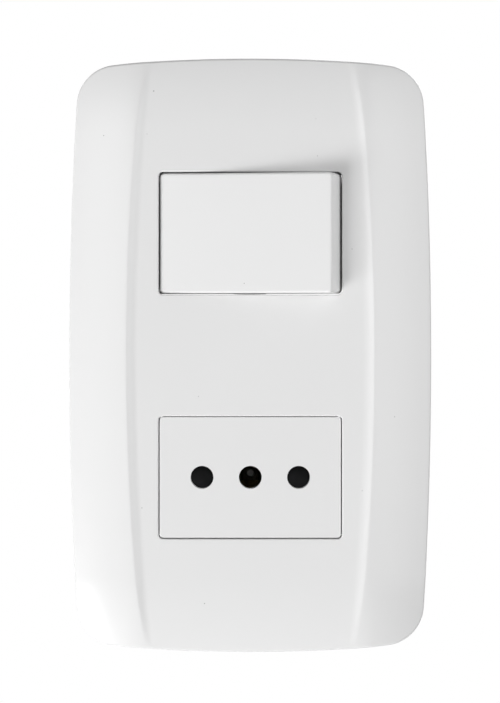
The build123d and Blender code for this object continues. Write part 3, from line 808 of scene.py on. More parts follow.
def upper_meeting(
    first: np.ndarray, first_radius: float, second: np.ndarray, second_radius: float
) -> np.ndarray:
    """Find where two circles meet.

    Args:
        first: The centre of one.
        first_radius: Its radius.
        second: The centre of the other.
        second_radius: Its radius.

    Returns:
        The upper right of the two meeting points.
    """
    apart = second - first
    gap = float(np.hypot(*apart))
    along = (first_radius**2 - second_radius**2 + gap**2) / (2 * gap)
    unit = apart / gap
    aside = math.sqrt(first_radius**2 - along**2) * np.array([-unit[1], unit[0]])
    foot = first + unit * along
    return max((foot + aside, foot - aside), key=lambda point: point[0] + point[1])


@dataclass
class CoverPlate:
    """The crowned cover, its sunk panel, windows, collars, ribs and latches, in millimetres."""

    width: float = 71.8
    length: float = 117.2
    side_radius: float = 860.0
    end_radius: float = 307.0
    corner_radius: float = 7.9
    panel_height: float = 7.5
    crown_height: float = 8.4
    window_margin: float = 2.45
    shoulder_radius: float = 20.0
    shoulder_turn: float = 11.0
    wing_edge: float = 4.35
    crown_radius: float = 2750.0
    roll_length: float = 14.6
    roll_radius: float = 66.0
    rim_round: float = 0.7
    crest_bow: float = 550.0
    blend_radius: float = 4.5
    blend_share: float = 0.85
    panel_roll_radius: float = 84.0
    ridge_round: float = 0.3
    wall: float = 2.4
    panel_wall: float = 1.8
    foot_round: float = 0.25
    foot_bevel: float = 0.3
    window_width: float = 36.1
    window_height: float = 24.2
    window_corner: float = 0.9
    window_edge: float = 0.25
    window_lip: float = 1.0
    module_spacing: float = 48.0
    relief_side: float = 1.05
    relief_end: float = 0.3
    relief_corner: float = 0.3
    collar_wall: float = 1.0
    collar_corner: float = 0.8
    collar_low: float = 3.6
    rib_places: tuple[float, ...] = (-6.0, 0.0, 6.0)
    rib_length: float = 40.0
    rib_wall: float = 1.0
    rib_rise: float = 1.7
    latch_x: float = 25.017
    latch_wall: float = 1.4
    latch_length: float = 6.0
    latch_hook: float = 0.6
    latch_low: float = 0.3
    latch_rise: float = 0.7
    sink: float = 0.3
    front_step: float = 1.15
    inner_step: float = 2.6
    row_share: float = 0.866
    crest_gap: float = 0.55
    window_gap: float = 0.45
    rim_gap: float = 0.35
    inner_gap: float = 0.4
    crest_search: tuple[float, float, int] = (12.0, 27.0, 1501)
    crest_spacing: float = 0.85
    crest_ends: float = 2.0
    crest_steps: tuple[float, ...] = (
        -2.2, -1.7, -1.2, -0.8, -0.5, -0.25, -0.1, 0.0, 0.1, 0.25, 0.5, 0.9
    )
    outline_counts: tuple[int, int, int] = (42, 30, 26)
    corner_count: int = 8
    straight_count: int = 14
    rim_rows: int = 9
    edge_rows: int = 4
    lean_guess: float = 0.3
    lean_rounds: int = 6
    slope_reach: float = 0.02
    edge_slack: float = 0.02
    sharp_angle: float = 34.0
    front_slack: float = 0.012
    front_facing: float = -0.5
    plan: MeshPlan = field(default_factory=MeshPlan)

    @property
    def modules(self) -> tuple[float, float]:
        """Heights of the two modules' middles up the wall."""
        return -self.module_spacing / 2, self.module_spacing / 2

    @property
    def ceiling(self) -> float:
        """Height over the wall of the hollow's ceiling, behind the panel."""
        return self.panel_height - self.panel_wall

    @cached_property
    def form(self) -> PlateSection:
        """Sizes of the plate's outer form."""
        return self.section(0.0)

    def section(self, inset: float) -> PlateSection:
        """Work out the sizes of the crowned section.

        Args:
            inset: How far inside the outer form it lies.

        Returns:
            The sizes as plain numbers, in millimetres.
        """
        turn = math.radians(self.shoulder_turn)
        flat_half = self.window_width / 2 + self.window_margin
        crest_half = flat_half + self.shoulder_radius * math.sin(turn)
        crest_height = self.crown_height - self.shoulder_radius * (1 - math.cos(turn))
        reach = self.width / 2 - crest_half
        fall = crest_height - self.wing_edge
        half_turn = math.atan2(fall, reach) - turn
        wing_radius = math.hypot(reach, fall) / (2 * math.sin(half_turn))
        crown_turn = math.asin((self.length / 2 - self.roll_length) / self.crown_radius)
        step = crest_height - self.panel_height
        blend_width = math.sqrt(step * (2 * self.blend_radius - step))
        return PlateSection(
            flat_half=flat_half,
            shoulder_radius=self.shoulder_radius - inset,
            shoulder_reach=(self.shoulder_radius - inset) * math.sin(turn),
            wing_radius=wing_radius - inset,
            wing_lead=(wing_radius - inset) * math.sin(turn),
            wing_depth=(wing_radius - inset) * math.cos(turn),
            crown_radius=self.crown_radius - inset,
            crown_height=self.crown_height - inset,
            roll_radius=self.roll_radius - inset,
            roll_start=(self.crown_radius - self.roll_radius) * math.sin(crown_turn),
            roll_sine=math.sin(crown_turn),
            roll_cosine=math.cos(crown_turn),
            panel_height=self.panel_height,
            panel_flat=self.length / 2 - self.roll_length,
            panel_roll_radius=self.panel_roll_radius,
            blend_radius=self.blend_radius,
            blend_limit=self.blend_radius * self.blend_share,
            blend_start=self.crest_bow - blend_width,
            bow_offset=self.crest_bow - crest_half,
            ridge_round=self.ridge_round,
        )

    @cached_property
    def outline(self) -> Outline:
        """The plate's outline, all the way round from the middle of the right side."""
        side = np.array([self.width / 2 - self.side_radius, 0.0])
        end = np.array([0.0, self.length / 2 - self.end_radius])
        side_reach = self.side_radius - self.corner_radius
        corner = upper_meeting(side, side_reach, end, self.end_radius - self.corner_radius)
        side_turn, end_turn = (math.atan2(*(corner - centre)[::-1]) for centre in (side, end))
        on_side, on_corner, on_end = self.outline_counts
        arcs = (
            (side, self.side_radius, np.linspace(0.0, side_turn, on_side)[:-1]),
            (corner, self.corner_radius, np.linspace(side_turn, end_turn, on_corner)[:-1]),
            (end, self.end_radius, np.linspace(end_turn, QUARTER_TURN, on_end)),
        )
        quarter = []
        for centre, radius, angles in arcs:
            ways = np.column_stack([np.cos(angles), np.sin(angles)])
            quarter.append(np.column_stack([centre + radius * ways, ways]))
        right_top = np.vstack(quarter)
        upper = np.vstack([right_top, right_top[::-1][1:] * (-1, 1, -1, 1)])
        loop = np.vstack([upper, upper[::-1][1:-1] * (1, -1, 1, -1)])
        return Outline(loop[:, :2], loop[:, 2:])

    def window_loop(self, grow_side: float, grow_end: float, corner: float, z: float) -> np.ndarray:
        """Draw a rounded rectangle round a window.

        Args:
            grow_side: How far it lies outside the window at its sides.
            grow_end: How far it lies outside at its ends.
            corner: Its corner radius.
            z: The height of the window's middle up the wall.

        Returns:
            Its points, as many for every loop.
        """
        half = np.array([self.window_width / 2 + grow_side, self.window_height / 2 + grow_end])
        arcs = []
        for turn, signs in enumerate(((1, 1), (-1, 1), (-1, -1), (1, -1))):
            angles = np.linspace(turn * QUARTER_TURN, (turn + 1) * QUARTER_TURN, self.corner_count)
            centre = (half - corner) * signs + (0.0, z)
            arcs.append(centre + corner * np.column_stack([np.cos(angles), np.sin(angles)]))
        sides = [
            np.linspace(arc[-1], following[0], self.straight_count)[1:-1]
            for arc, following in zip(arcs, arcs[1:] + arcs[:1])
        ]
        return np.vstack([piece for pair in zip(arcs, sides) for piece in pair])

    def _in_windows(
        self, points: np.ndarray, grow_side: float, grow_end: float, corner: float = 0.0
    ) -> np.ndarray:
        """Find the points inside the windows.

        Args:
            points: Places on the wall.
            grow_side: How far the windows are taken to reach at their sides.
            grow_end: How far they are taken to reach at their ends.
            corner: The corner radius that they then have.

        Returns:
            Which points lie inside.
        """
        inside = np.zeros(len(points), bool)
        for z in self.modules:
            half_x = self.window_width / 2 + grow_side - corner
            half_z = self.window_height / 2 + grow_end - corner
            past_x = np.maximum(np.abs(points[:, 0]) - half_x, 0)
            past_z = np.maximum(np.abs(points[:, 1] - z) - half_z, 0)
            inside |= np.hypot(past_x, past_z) <= corner
        return inside

    def _grid(self, step: float) -> np.ndarray:
        """Lay a grid of points over the plate.

        Args:
            step: The distance between neighbours.

        Returns:
            The points, with every other row set over by half a step.
        """
        rows = np.arange(-self.length / 2, self.length / 2 + step, step * self.row_share)
        columns = np.arange(-self.width / 2 - step, self.width / 2 + step, step)
        return np.array([(x + (i % 2) * step / 2, z) for i, z in enumerate(rows) for x in columns])

    def _sheet(
        self,
        borders: Sequence[Border],
        inner: np.ndarray,
        height: float | np.ndarray,
        keep: Callable[[np.ndarray], np.ndarray],
    ) -> list[int]:
        """Fill the plan with triangles between its borders.

        Args:
            borders: The point numbers and the places of each border loop.
            inner: Places of the points between the borders.
            height: The height of those points.
            keep: Says which triangles belong, from their middles.

        Returns:
            The numbers of the new inner points.
        """
        edges, start = [], 0
        for numbers, _ in borders:
            count = len(numbers)
            edges += [(start + i, start + (i + 1) % count) for i in range(count)]
            start += count
        places = [Vector(p) for p in np.vstack([*(loop for _, loop in borders), inner])]
        corners, _, triangles, origins, *_ = delaunay_2d_cdt(places, edges, [], 0, CDT_TOLERANCE)
        added = self.plan.add_points(raised(inner, height))
        numbers = [n for ids, _ in borders for n in ids] + added
        middles = np.array([np.mean([corners[i] for i in t], axis=0) for t in triangles])
        for triangle, wanted in zip(triangles, keep(middles)):
            if wanted:
                self.plan.faces.append([numbers[origins[i][0]] for i in triangle])
        return added

    def _slope(self, x: np.ndarray, z: np.ndarray) -> tuple[np.ndarray, np.ndarray]:
        """Measure how the front's height changes.

        Args:
            x: The places across the plate.
            z: The places up the plate.

        Returns:
            The change to the right and the change upwards.
        """
        reach, height = self.slope_reach, self.form.height
        right = (height(x + reach, z) - height(x - reach, z)) / (2 * reach)
        up = (height(x, z + reach) - height(x, z - reach)) / (2 * reach)
        return right, up

    def _crest_rows(self) -> np.ndarray:
        """Lay rows of points along both crests.

        Returns:
            The points' places.
        """
        rows = []
        end = self.length / 2 - self.crest_ends
        guess = np.linspace(*self.crest_search)
        for z in np.arange(-end, end, self.crest_spacing):
            level = np.full_like(guess, z)
            above = guess[self.form.crowned(guess, level) > self.form.room(guess, level)]
            if len(above):
                across = [float(above.max()) + step for step in self.crest_steps]
                rows += [(side * x, z) for side in (-1, 1) for x in across]
        return np.array(rows)

    def _rim_start(self) -> tuple[np.ndarray, np.ndarray]:
        """Find where the rim's round starts.

        Returns:
            The distance in from the outline, and how far the front leans there, in radians.
        """
        lean = np.full(len(self.outline.points), self.lean_guess)
        for _ in range(self.lean_rounds):
            place = self.outline.inset(self.rim_round * (1 - np.sin(lean))).points
            slope = np.column_stack(self._slope(place[:, 0], place[:, 1]))
            lean = np.arctan(-(slope * self.outline.out).sum(1))
        return self.rim_round * (1 - np.sin(lean)), lean

    def build(self) -> bpy.types.Object:
        """Build the finished cover.

        Returns:
            The cover as a plain mesh.
        """
        outline, plan = self.outline, self.plan
        tip, lean = self._rim_start()
        front = outline.inset(tip)
        front_ids = edge_ids = plan.add_points(raised(front.points))
        read: dict[int, Point] = {}
        for row in range(1, self.rim_rows + 1):
            angle = lean + (QUARTER_TURN - lean) * (row / self.rim_rows)
            inward = self.rim_round * (1 - np.sin(angle))
            sunk = self.rim_round * (np.cos(lean) - np.cos(angle))
            ids = plan.add_points(raised(outline.inset(inward).points))
            read.update({n: (*p, s) for n, p, s in zip(ids, front.points, sunk)})
            plan.bridge(edge_ids, ids)
            edge_ids = ids
        foot = self._skirt(edge_ids)
        windows = self._windows()
        borders = [(front_ids, front.points), *(front_border for front_border, _ in windows)]
        points = self._front_points(float(tip.max()))
        edge = self.window_edge

        def in_front(middles: np.ndarray) -> np.ndarray:
            """Say which triangles lie on the front, between the rim and the windows."""
            in_rounded = self._in_windows(middles, edge, edge, self.window_corner + edge)
            return front.holds(middles, 0.0) & ~in_rounded

        added = self._sheet(borders, points, 0.0, in_front)
        for ids, places in (*borders, (added, points)):
            read.update({n: (*p, 0.0) for n, p in zip(ids, places)})
        self._inner_side(foot, [inner for _, inner in windows])
        self._ribs_and_latches()
        return self._raise_front(read)

    def _skirt(self, top: list[int]) -> list[int]:
        """Add the upright wall from the rim to the wall side, and the foot that it stands on.

        Args:
            top: The numbers of the rim's lowest points.

        Returns:
            The numbers of the points on the foot's inner edge.
        """
        bevel = self.foot_round * self.foot_bevel
        rows = ((0.0, self.foot_round), (bevel, bevel), (self.foot_round, 0.0), (self.wall, 0.0))
        for inward, height in rows:
            following = self.plan.add_points(raised(self.outline.inset(inward).points, height))
            self.plan.bridge(top, following)
            top = following
        return top

    def _windows(self) -> list[tuple[Border, Border]]:
        """Add the rounded edges, walls and collars of both windows.

        Returns:
            Each window's open borders, on the front and on the inner side.
        """
        edge, corner, height = self.window_edge, self.window_corner, self.panel_height
        rows = []
        for row in range(self.edge_rows + 1):
            angle = QUARTER_TURN * row / self.edge_rows
            grow = edge * (1 - math.sin(angle))
            rows.append((grow, grow, corner + grow, height - edge * (1 - math.cos(angle))))
        lip_low = height - self.window_lip
        side, end = self.relief_side, self.relief_end
        outer = (side + self.collar_wall, end + self.collar_wall, self.collar_corner)
        rows += [
            (0.0, 0.0, corner, lip_low),
            (side, end, self.relief_corner, lip_low),
            (side, end, self.relief_corner, self.collar_low),
            (*outer, self.collar_low),
            (*outer, self.ceiling),
        ]
        found = []
        for z in self.modules:
            loops = [self.window_loop(*sizes, z) for *sizes, _ in rows]
            rings = [self.plan.add_points(raised(loop, row[-1])) for loop, row in zip(loops, rows)]
            for first, second in zip(rings, rings[1:]):
                self.plan.bridge(first, second)
            found.append(((rings[0], loops[0]), (rings[-1], loops[-1])))
        return found

    def _front_points(self, deepest: float) -> np.ndarray:
        """Choose the places of the points between the rim and the windows.

        Args:
            deepest: The greatest distance from the outline to the rim's start.

        Returns:
            The places: rows along the crests, and a grid elsewhere.
        """
        step = self.front_step
        crest = self._crest_rows()
        grid = self._grid(step)
        apart = nearest(grid, crest)[1]
        clear = (apart**2).sum(1) >= (step * self.crest_gap) ** 2
        points = np.vstack([grid[clear], crest])
        margin = self.window_edge + step * self.window_gap
        points = points[~self._in_windows(points, margin, margin)]
        return points[self.outline.holds(points, deepest + step * self.rim_gap)]

    def _inner_side(self, foot: list[int], windows: Sequence[Border]) -> None:
        """Add the hollow inner side, from the foot's inner edge to the collars.

        Args:
            foot: The numbers of the points on the foot's inner edge.
            windows: The collars' borders.
        """
        inner, outline = self.section(self.wall), self.outline.inset(self.wall)

        def height(places: np.ndarray) -> np.ndarray:
            """Return the inner side's height at some places."""
            return np.minimum(inner.crowned(places[:, 0], places[:, 1]), self.ceiling)

        def on_inner(middles: np.ndarray) -> np.ndarray:
            """Say which triangles lie on the inner side, outside the collars."""
            grow = self.collar_wall - self.edge_slack
            in_collars = self._in_windows(middles, self.relief_side + grow, self.relief_end + grow)
            return outline.holds(middles, 0.0) & ~in_collars

        top = self.plan.add_points(raised(outline.points, height(outline.points)))
        self.plan.bridge(foot, top)
        clearance = self.inner_step * self.inner_gap
        margin = self.collar_wall + self.relief_side + clearance
        points = self._grid(self.inner_step)
        points = points[~self._in_windows(points, margin, margin)]
        points = points[outline.holds(points, clearance)]
        self._sheet([(top, outline.points), *windows], points, height(points), on_inner)

    def _ribs_and_latches(self) -> None:
        """Add the stiffening ribs between the windows and the four latches."""
        half, near, root = self.rib_length / 2, self.latch_wall / 2, self.ceiling + self.sink
        for z in self.rib_places:
            low, high = z - self.rib_wall / 2, z + self.rib_wall / 2
            profile = ((-half, low), (half, low), (half, high), (-half, high))
            heights = (self.ceiling - self.rib_rise, root)
            self.plan.stack([[(x, -y, v) for x, v in profile] for y in heights])
        inside, outside = self.latch_x - near, self.latch_x + near
        hook = self.latch_low + self.latch_rise
        profile = (
            (inside, root),
            (outside, root),
            (outside, hook),
            (outside + self.latch_hook, hook),
            (outside, self.latch_low),
            (inside, self.latch_low),
        )
        for side in (-1, 1):
            for z in self.modules:
                ends = (z - self.latch_length / 2, z + self.latch_length / 2)
                self.plan.stack([[(side * x, -y, end) for x, y in profile] for end in ends])

    def _raise_front(self, read: Mapping[int, Point]) -> bpy.types.Object:
        """Raise the plan's front, which lies on the wall's plane, with a node tree.

        Args:
            read: For each front point, where its height is read and how far under it it lies.

        Returns:
            The finished cover as a plain mesh.
        """
        flat = self.plan.to_object("cover_plate_plan")
        table = np.zeros((len(PLAN_ATTRIBUTES), len(self.plan.points)), np.float32)
        for number, (x, z, sunk) in read.items():
            table[:, number] = (x * MM, z * MM, sunk * MM, 1.0)
        for name, numbers in zip(PLAN_ATTRIBUTES, table):
            flat.data.attributes.new(name, "FLOAT", "POINT").data.foreach_set("value", numbers)
        sizes = {
            size.name: getattr(self.form, size.name) * (1.0 if size.name in SECTION_RATIOS else MM)
            for size in fields(self.form)
        }
        tree = FormTree("crowned_front", sizes, Finish.PLATE.material())
        cover = tree.run(flat, "cover_plate_finished")
        for name in PLAN_ATTRIBUTES:
            cover.data.attributes.remove(cover.data.attributes[name])
        finish_mesh(cover.data, self.sharp_angle)
        self._true_normals(cover.data)
        return cover

    def _true_normals(self, mesh: bpy.types.Mesh) -> None:
        """Give the front the exact normals of its form, and keep the other faces' own.

        Args:
            mesh: The finished cover's mesh.
        """
        corners = np.zeros(len(mesh.loops), np.int32)
        mesh.loops.foreach_get("vertex_index", corners)
        places = np.zeros(len(mesh.vertices) * 3, np.float64)
        mesh.vertices.foreach_get("co", places)
        x, y, z = places.reshape(-1, 3).T / MM
        right, up = self._slope(x, z)
        normals = np.column_stack([-right, -np.ones_like(right), -up])
        normals /= np.linalg.norm(normals, axis=1)[:, None]
        on_front = np.abs(-y - self.form.height(x, z)) < self.front_slack
        given = np.zeros((len(corners), 3))
        for polygon in mesh.polygons:
            span = slice(polygon.loop_start, polygon.loop_start + polygon.loop_total)
            ends = corners[span]
            if on_front[ends].all() and polygon.normal.y < self.front_facing:
                given[span] = normals[ends]
        mesh.normals_split_custom_set([tuple(n) for n in given])


@dataclass(frozen=True)
class ThreadSize:
    """Sizes of a screw's thread, in millimetres."""

    radius: float
    depth: float
    pitch: float
    length: float
    point: float
    around: int = 28
    rows_per_turn: int = 8

    def inputs(self, turn: Point) -> dict[str, object]:
        """List what a thread tree is given.

        Args:
            turn: How each shank is turned from the way of +Y, in radians.

        Returns:
            The value of each input, with one more row at each end for its cap.
        """
        return {
            "Outer Radius": self.radius * MM,
            "Thread Depth": self.depth * MM,
            "Pitch": self.pitch * MM,
            "Length": self.length * MM,
            "Point": self.point * MM,
            "Points Around": self.around + 1,
            "Rows": int(self.length / self.pitch * self.rows_per_turn) + 3,
            "Turn": turn,
        }


class ThreadTree(PieceTree):
    """Node tree that sets a threaded shank on each point that it is given."""

    flank_steepness = 1.7
    flank_start = 0.35
    point_share = 0.75
    merge_distance = 0.002 * MM

    def shape(self) -> bpy.types.NodeSocket:
        """Add the nodes that wind a grid into a thread.

        Returns:
            The shanks on their points.
        """
        maker, given = self.maker, self.given
        outer, depth, pitch, length, point, rows = (
            Value(maker, given[label])
            for label in ("Outer Radius", "Thread Depth", "Pitch", "Length", "Point", "Rows")
        )
        counts = {"Vertices X": given["Points Around"], "Vertices Y": given["Rows"]}
        grid = maker.out("GeometryNodeMeshGrid", {"Size X": 1.0, "Size Y": 1.0, **counts})
        across, up, _ = maker.parts(maker.out("GeometryNodeInputPosition"))
        share = across + 0.5
        row = (up + 0.5) * (rows - 1)
        along = ((row - 1) / (rows - 3)).greater(0.0).lesser(1.0) * length
        tooth = abs((along / pitch + share).fraction() * 2 - 1)
        flank = (tooth * self.flank_steepness - self.flank_start).greater(0.0).lesser(1.0)
        taper = ((length - along) / point).lesser(1.0)
        core = outer - depth
        tip = core * self.point_share
        shank = (core + depth * flank).lesser(tip + (outer - tip) * taper)
        radius = shank * (row > 0.5) * (row < rows - 1.5)
        angle = share * math.tau
        place = maker.vector(radius * angle.cosine(), along, radius * angle.sine())
        wound = maker.out("GeometryNodeSetPosition", {"Geometry": grid, "Position": place})
        merged = {"Geometry": wound, "Distance": self.merge_distance}
        return self.stand(maker.out("GeometryNodeMergeByDistance", merged))


@dataclass
class ScrewSet:
    """Screws of one kind: slotted heads on threaded shanks, in millimetres."""

    node: str
    places: tuple[Point, ...]
    thread: ThreadSize
    head_radius: float
    head_height: float
    head_round: float
    upright: bool
    neck_radius: float = 0.0
    neck_length: float = 0.0
    neck_flare: float = 0.15
    seat_bevel: float = 0.12
    slot_width: float = 0.8
    slot_depth: float = 0.8
    slot_count: int = 20
    round_rows: int = 8
    sides: int = 48
    sink: float = 0.06
    row_gap: float = 0.02
    inset: float = 0.01
    sharp_angle: float = 38.0

    @property
    def name(self) -> str:
        """Name of the finished piece."""
        return f"{self.node}_threaded"

    def _placing(self, spot: Point) -> Placing:
        """Return what turns a place on the screw into a place on the object.

        Args:
            spot: Where the screw's head is seated.

        Returns:
            The function of a place across, a place aside and a height on the screw.
        """
        x, y, z = spot
        if self.upright:
            return lambda u, v, w: (x + u, y + v, z + w)
        return lambda u, v, w: (x + u, y - w, z + v)

    def _head_rows(self) -> list[tuple[float, float]]:
        """Draw the head's profile.

        Returns:
            Its radius and height, row by row, from its seat to its top.
        """
        rows = [(self.head_radius - self.seat_bevel, 0.0), (self.head_radius, self.seat_bevel)]
        for step in range(self.round_rows + 1):
            turn = QUARTER_TURN * step / self.round_rows
            radius = self.head_radius - self.head_round * (1 - math.cos(turn))
            rows.append((radius, self.head_height - self.head_round * (1 - math.sin(turn))))
        return rows

    def _lathe(self, plan: MeshPlan, place: Placing, rows: Sequence[tuple[float, float]]) -> None:
        """Add a closed turned body with its radius and height given row by row."""
        angles = [math.tau * i / self.sides for i in range(self.sides)]
        plan.stack([[place(r * math.cos(a), r * math.sin(a), h) for a in angles] for r, h in rows])

    def _slot_half(
        self, plan: MeshPlan, place: Placing, rows: Sequence[tuple[float, float]], side: int
    ) -> None:
        """Add the part of the head on one side of its slot.

        Args:
            plan: The mesh in the making.
            place: Turns a place on the screw into one on the object.
            rows: The head's radius and height above the slot's floor.
            side: 1 or -1.
        """
        rings = []
        for radius, height in rows:
            half_turn = math.acos(self.slot_width / 2 / radius)
            turns = [half_turn * (2 * i / self.slot_count - 1) for i in range(self.slot_count + 1)]
            edge = [(radius * math.sin(a), side * radius * math.cos(a)) for a in turns]
            rings.append([place(u, v, height) for u, v in edge])
        plan.stack(rings)

    def build(self) -> bpy.types.Object:
        """Build the screws.

        Returns:
            All of them as one plain mesh.
        """
        plan = MeshPlan()
        rows = self._head_rows()
        floor = self.head_height - self.slot_depth
        lower = [row for row in rows if row[1] < floor - self.row_gap]
        upper = [row for row in rows if row[1] > floor + self.row_gap]
        drop = max(0.0, floor - (self.head_height - self.head_round))
        edge = self.head_radius - self.head_round + math.sqrt(self.head_round**2 - drop**2)
        neck, flared = self.neck_radius, self.neck_radius + self.neck_flare
        for spot in self.places:
            place = self._placing(spot)
            self._lathe(plan, place, [*lower, (edge, floor)])
            for side in (-1, 1):
                rooted = [(edge - self.inset, floor - self.sink), (edge, floor), *upper]
                self._slot_half(plan, place, rooted, side)
            if self.neck_length > 0:
                ends = (-self.neck_length - self.sink, -self.neck_flare, 0.0, self.sink)
                self._lathe(plan, place, list(zip((neck, neck, flared, flared), ends)))
        return joined(self.name, [plan.to_object(f"{self.node}_heads"), self._shanks()])

    def _shanks(self) -> bpy.types.Object:
        """Wind the threaded shanks with a node tree.

        Returns:
            The shanks as a plain mesh.
        """
        seats, low = MeshPlan(), self.sink - self.neck_length
        seats.add_points(self._placing(spot)(0.0, 0.0, low) for spot in self.places)
        turn = (-QUARTER_TURN, 0.0, 0.0) if self.upright else (0.0, 0.0, 0.0)
        tree = ThreadTree(f"{self.name}_thread", self.thread.inputs(turn), Finish.SCREW.material())
        return tree.run(seats.to_object(f"{self.node}_places"), f"{self.node}_shanks")

    def finish(self) -> None:
        """Build the screws, dress them and let them stand for their CAD node."""
        piece = self.build()
        finish_mesh(piece.data, self.sharp_angle)
        settle(piece, "base", Finish.SCREW, self.node)


def screw_sets() -> list[ScrewSet]:
    """List every set of screws on the object.

    Returns:
        The sets.
    """
    head_y, head_above = 21.45, 5.6
    small = ThreadSize(radius=1.25, depth=0.2, pitch=0.45, length=3.46, point=0.35, around=24)
    box = ScrewSet(
        "box_screws",
        ((0.0, -2.0, 41.75), (0.0, -2.0, -41.75)),
        ThreadSize(radius=1.75, depth=0.28, pitch=0.6, length=23.06, point=0.9),
        head_radius=3.2,
        head_height=2.0,
        head_round=1.0,
        upright=False,
        neck_radius=1.5,
        neck_length=2.0,
    )
    terminals = [
        ScrewSet(
            node,
            tuple((x, head_y, middle + head_above) for x in across),
            small,
            head_radius=2.4,
            head_height=1.8,
            head_round=0.3,
            upright=True,
        )
        for node, middle, across in (
            ("switch_terminal_screws", 24.0, (-9.5, 9.5)),
            ("socket_terminal_screws", -24.0, (-9.5, 0.0, 9.5)),
        )
    ]
    return [box, *terminals]


class CoilTree(PieceTree):
    """Node tree that winds a round-wire coil spring up from each point that it is given."""

    steps_per_coil = 28
    wire_sides = 12

    def shape(self) -> bpy.types.NodeSocket:
        """Add the nodes that sweep a round wire along a spiral.

        Returns:
            The springs on their points.
        """
        maker, given = self.maker, self.given
        coil = {
            "Resolution": self.steps_per_coil,
            "Rotations": given["Coils"],
            "Start Radius": given["Coil Radius"],
            "End Radius": given["Coil Radius"],
            "Height": given["Height"],
        }
        spiral = maker.out("GeometryNodeCurveSpiral", coil)
        circle = {"Resolution": self.wire_sides, "Radius": given["Wire Radius"]}
        ring = maker.out("GeometryNodeCurvePrimitiveCircle", circle)
        swept = {"Curve": spiral, "Profile Curve": ring, "Fill Caps": True}
        return self.stand(maker.out("GeometryNodeCurveToMesh", swept))


@dataclass
class CoilSpring:
    """Springs of one kind that shorten with a joint, in millimetres."""

    node: str
    body: str
    feet: tuple[Point, ...]
    way: Point
    length: float
    radius: float
    wire: float
    coils: int
    joint: str
    travel: float
    sharp_angle: float = 60.0

    @property
    def name(self) -> str:
        """Name of the finished piece."""
        return f"{self.node}_wound"

    def build(self) -> bpy.types.Object:
        """Wind the springs with a node tree.

        Returns:
            All of them as one plain mesh.
        """
        feet = MeshPlan()
        feet.add_points(Vector(foot) + Vector(self.way) * (self.wire / 2) for foot in self.feet)
        sizes = {
            "Coils": float(self.coils),
            "Coil Radius": self.radius * MM,
            "Wire Radius": self.wire / 2 * MM,
            "Height": (self.length - self.wire) * MM,
            "Turn": tuple(Vector(self.way).to_track_quat("Z", "Y").to_euler()),
        }
        tree = CoilTree(f"{self.name}_coil", sizes, Finish.SPRING.material())
        piece = tree.run(feet.to_object(f"{self.node}_feet"), self.name)
        finish_mesh(piece.data, self.sharp_angle)
        return piece

    def finish(self) -> None:
        """Build the springs, dress them, set them on their body and give them a mesh of their own.
        """
        piece = self.build()
        settle(piece, self.body, Finish.SPRING, self.node)
        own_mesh(piece)


def coil_springs() -> list[CoilSpring]:
    """List every set of springs on the object.

    Returns:
        The sets.
    """
    return [
        CoilSpring(
            "shutter_springs",
            "base",
            tuple((x, -3.45, -34.3) for x in (-5.3, 5.3)),
            way=(0.0, 0.0, 1.0),
            length=11.7,
            radius=0.8,
            wire=0.3,
            coils=10,
            joint="shutter_slide",
            travel=5.1,
        ),
        CoilSpring(
            "plunger_spring",
            "key",
            ((-0.5547, -5.8685, 24.0),),
            way=(0.113203, 0.993572, 0.0),
            length=6.3,
            radius=1.15,
            wire=0.35,
            coils=7,
            joint="plunger_slide",
            travel=0.6,
        ),
    ]


@dataclass(frozen=True)
class Lamp:
    """One soft rectangular lamp that faces the origin."""

    name: str
    place: Point
    width: float
    height: float
    brightness: float

    def light(self) -> None:
        """Add the lamp to the scene."""
        data = bpy.data.lights.new(self.name, "AREA")
        data.shape = "RECTANGLE"
        data.size = self.width
        data.size_y = self.height
        data.energy = self.brightness * math.pi * self.width * self.height
        lamp = put_in_scene(self.name, data)
        lamp.location = self.place
        lamp.rotation_euler = (-Vector(self.place)).to_track_quat("-Z", "Y").to_euler()
        lamp.visible_camera = False


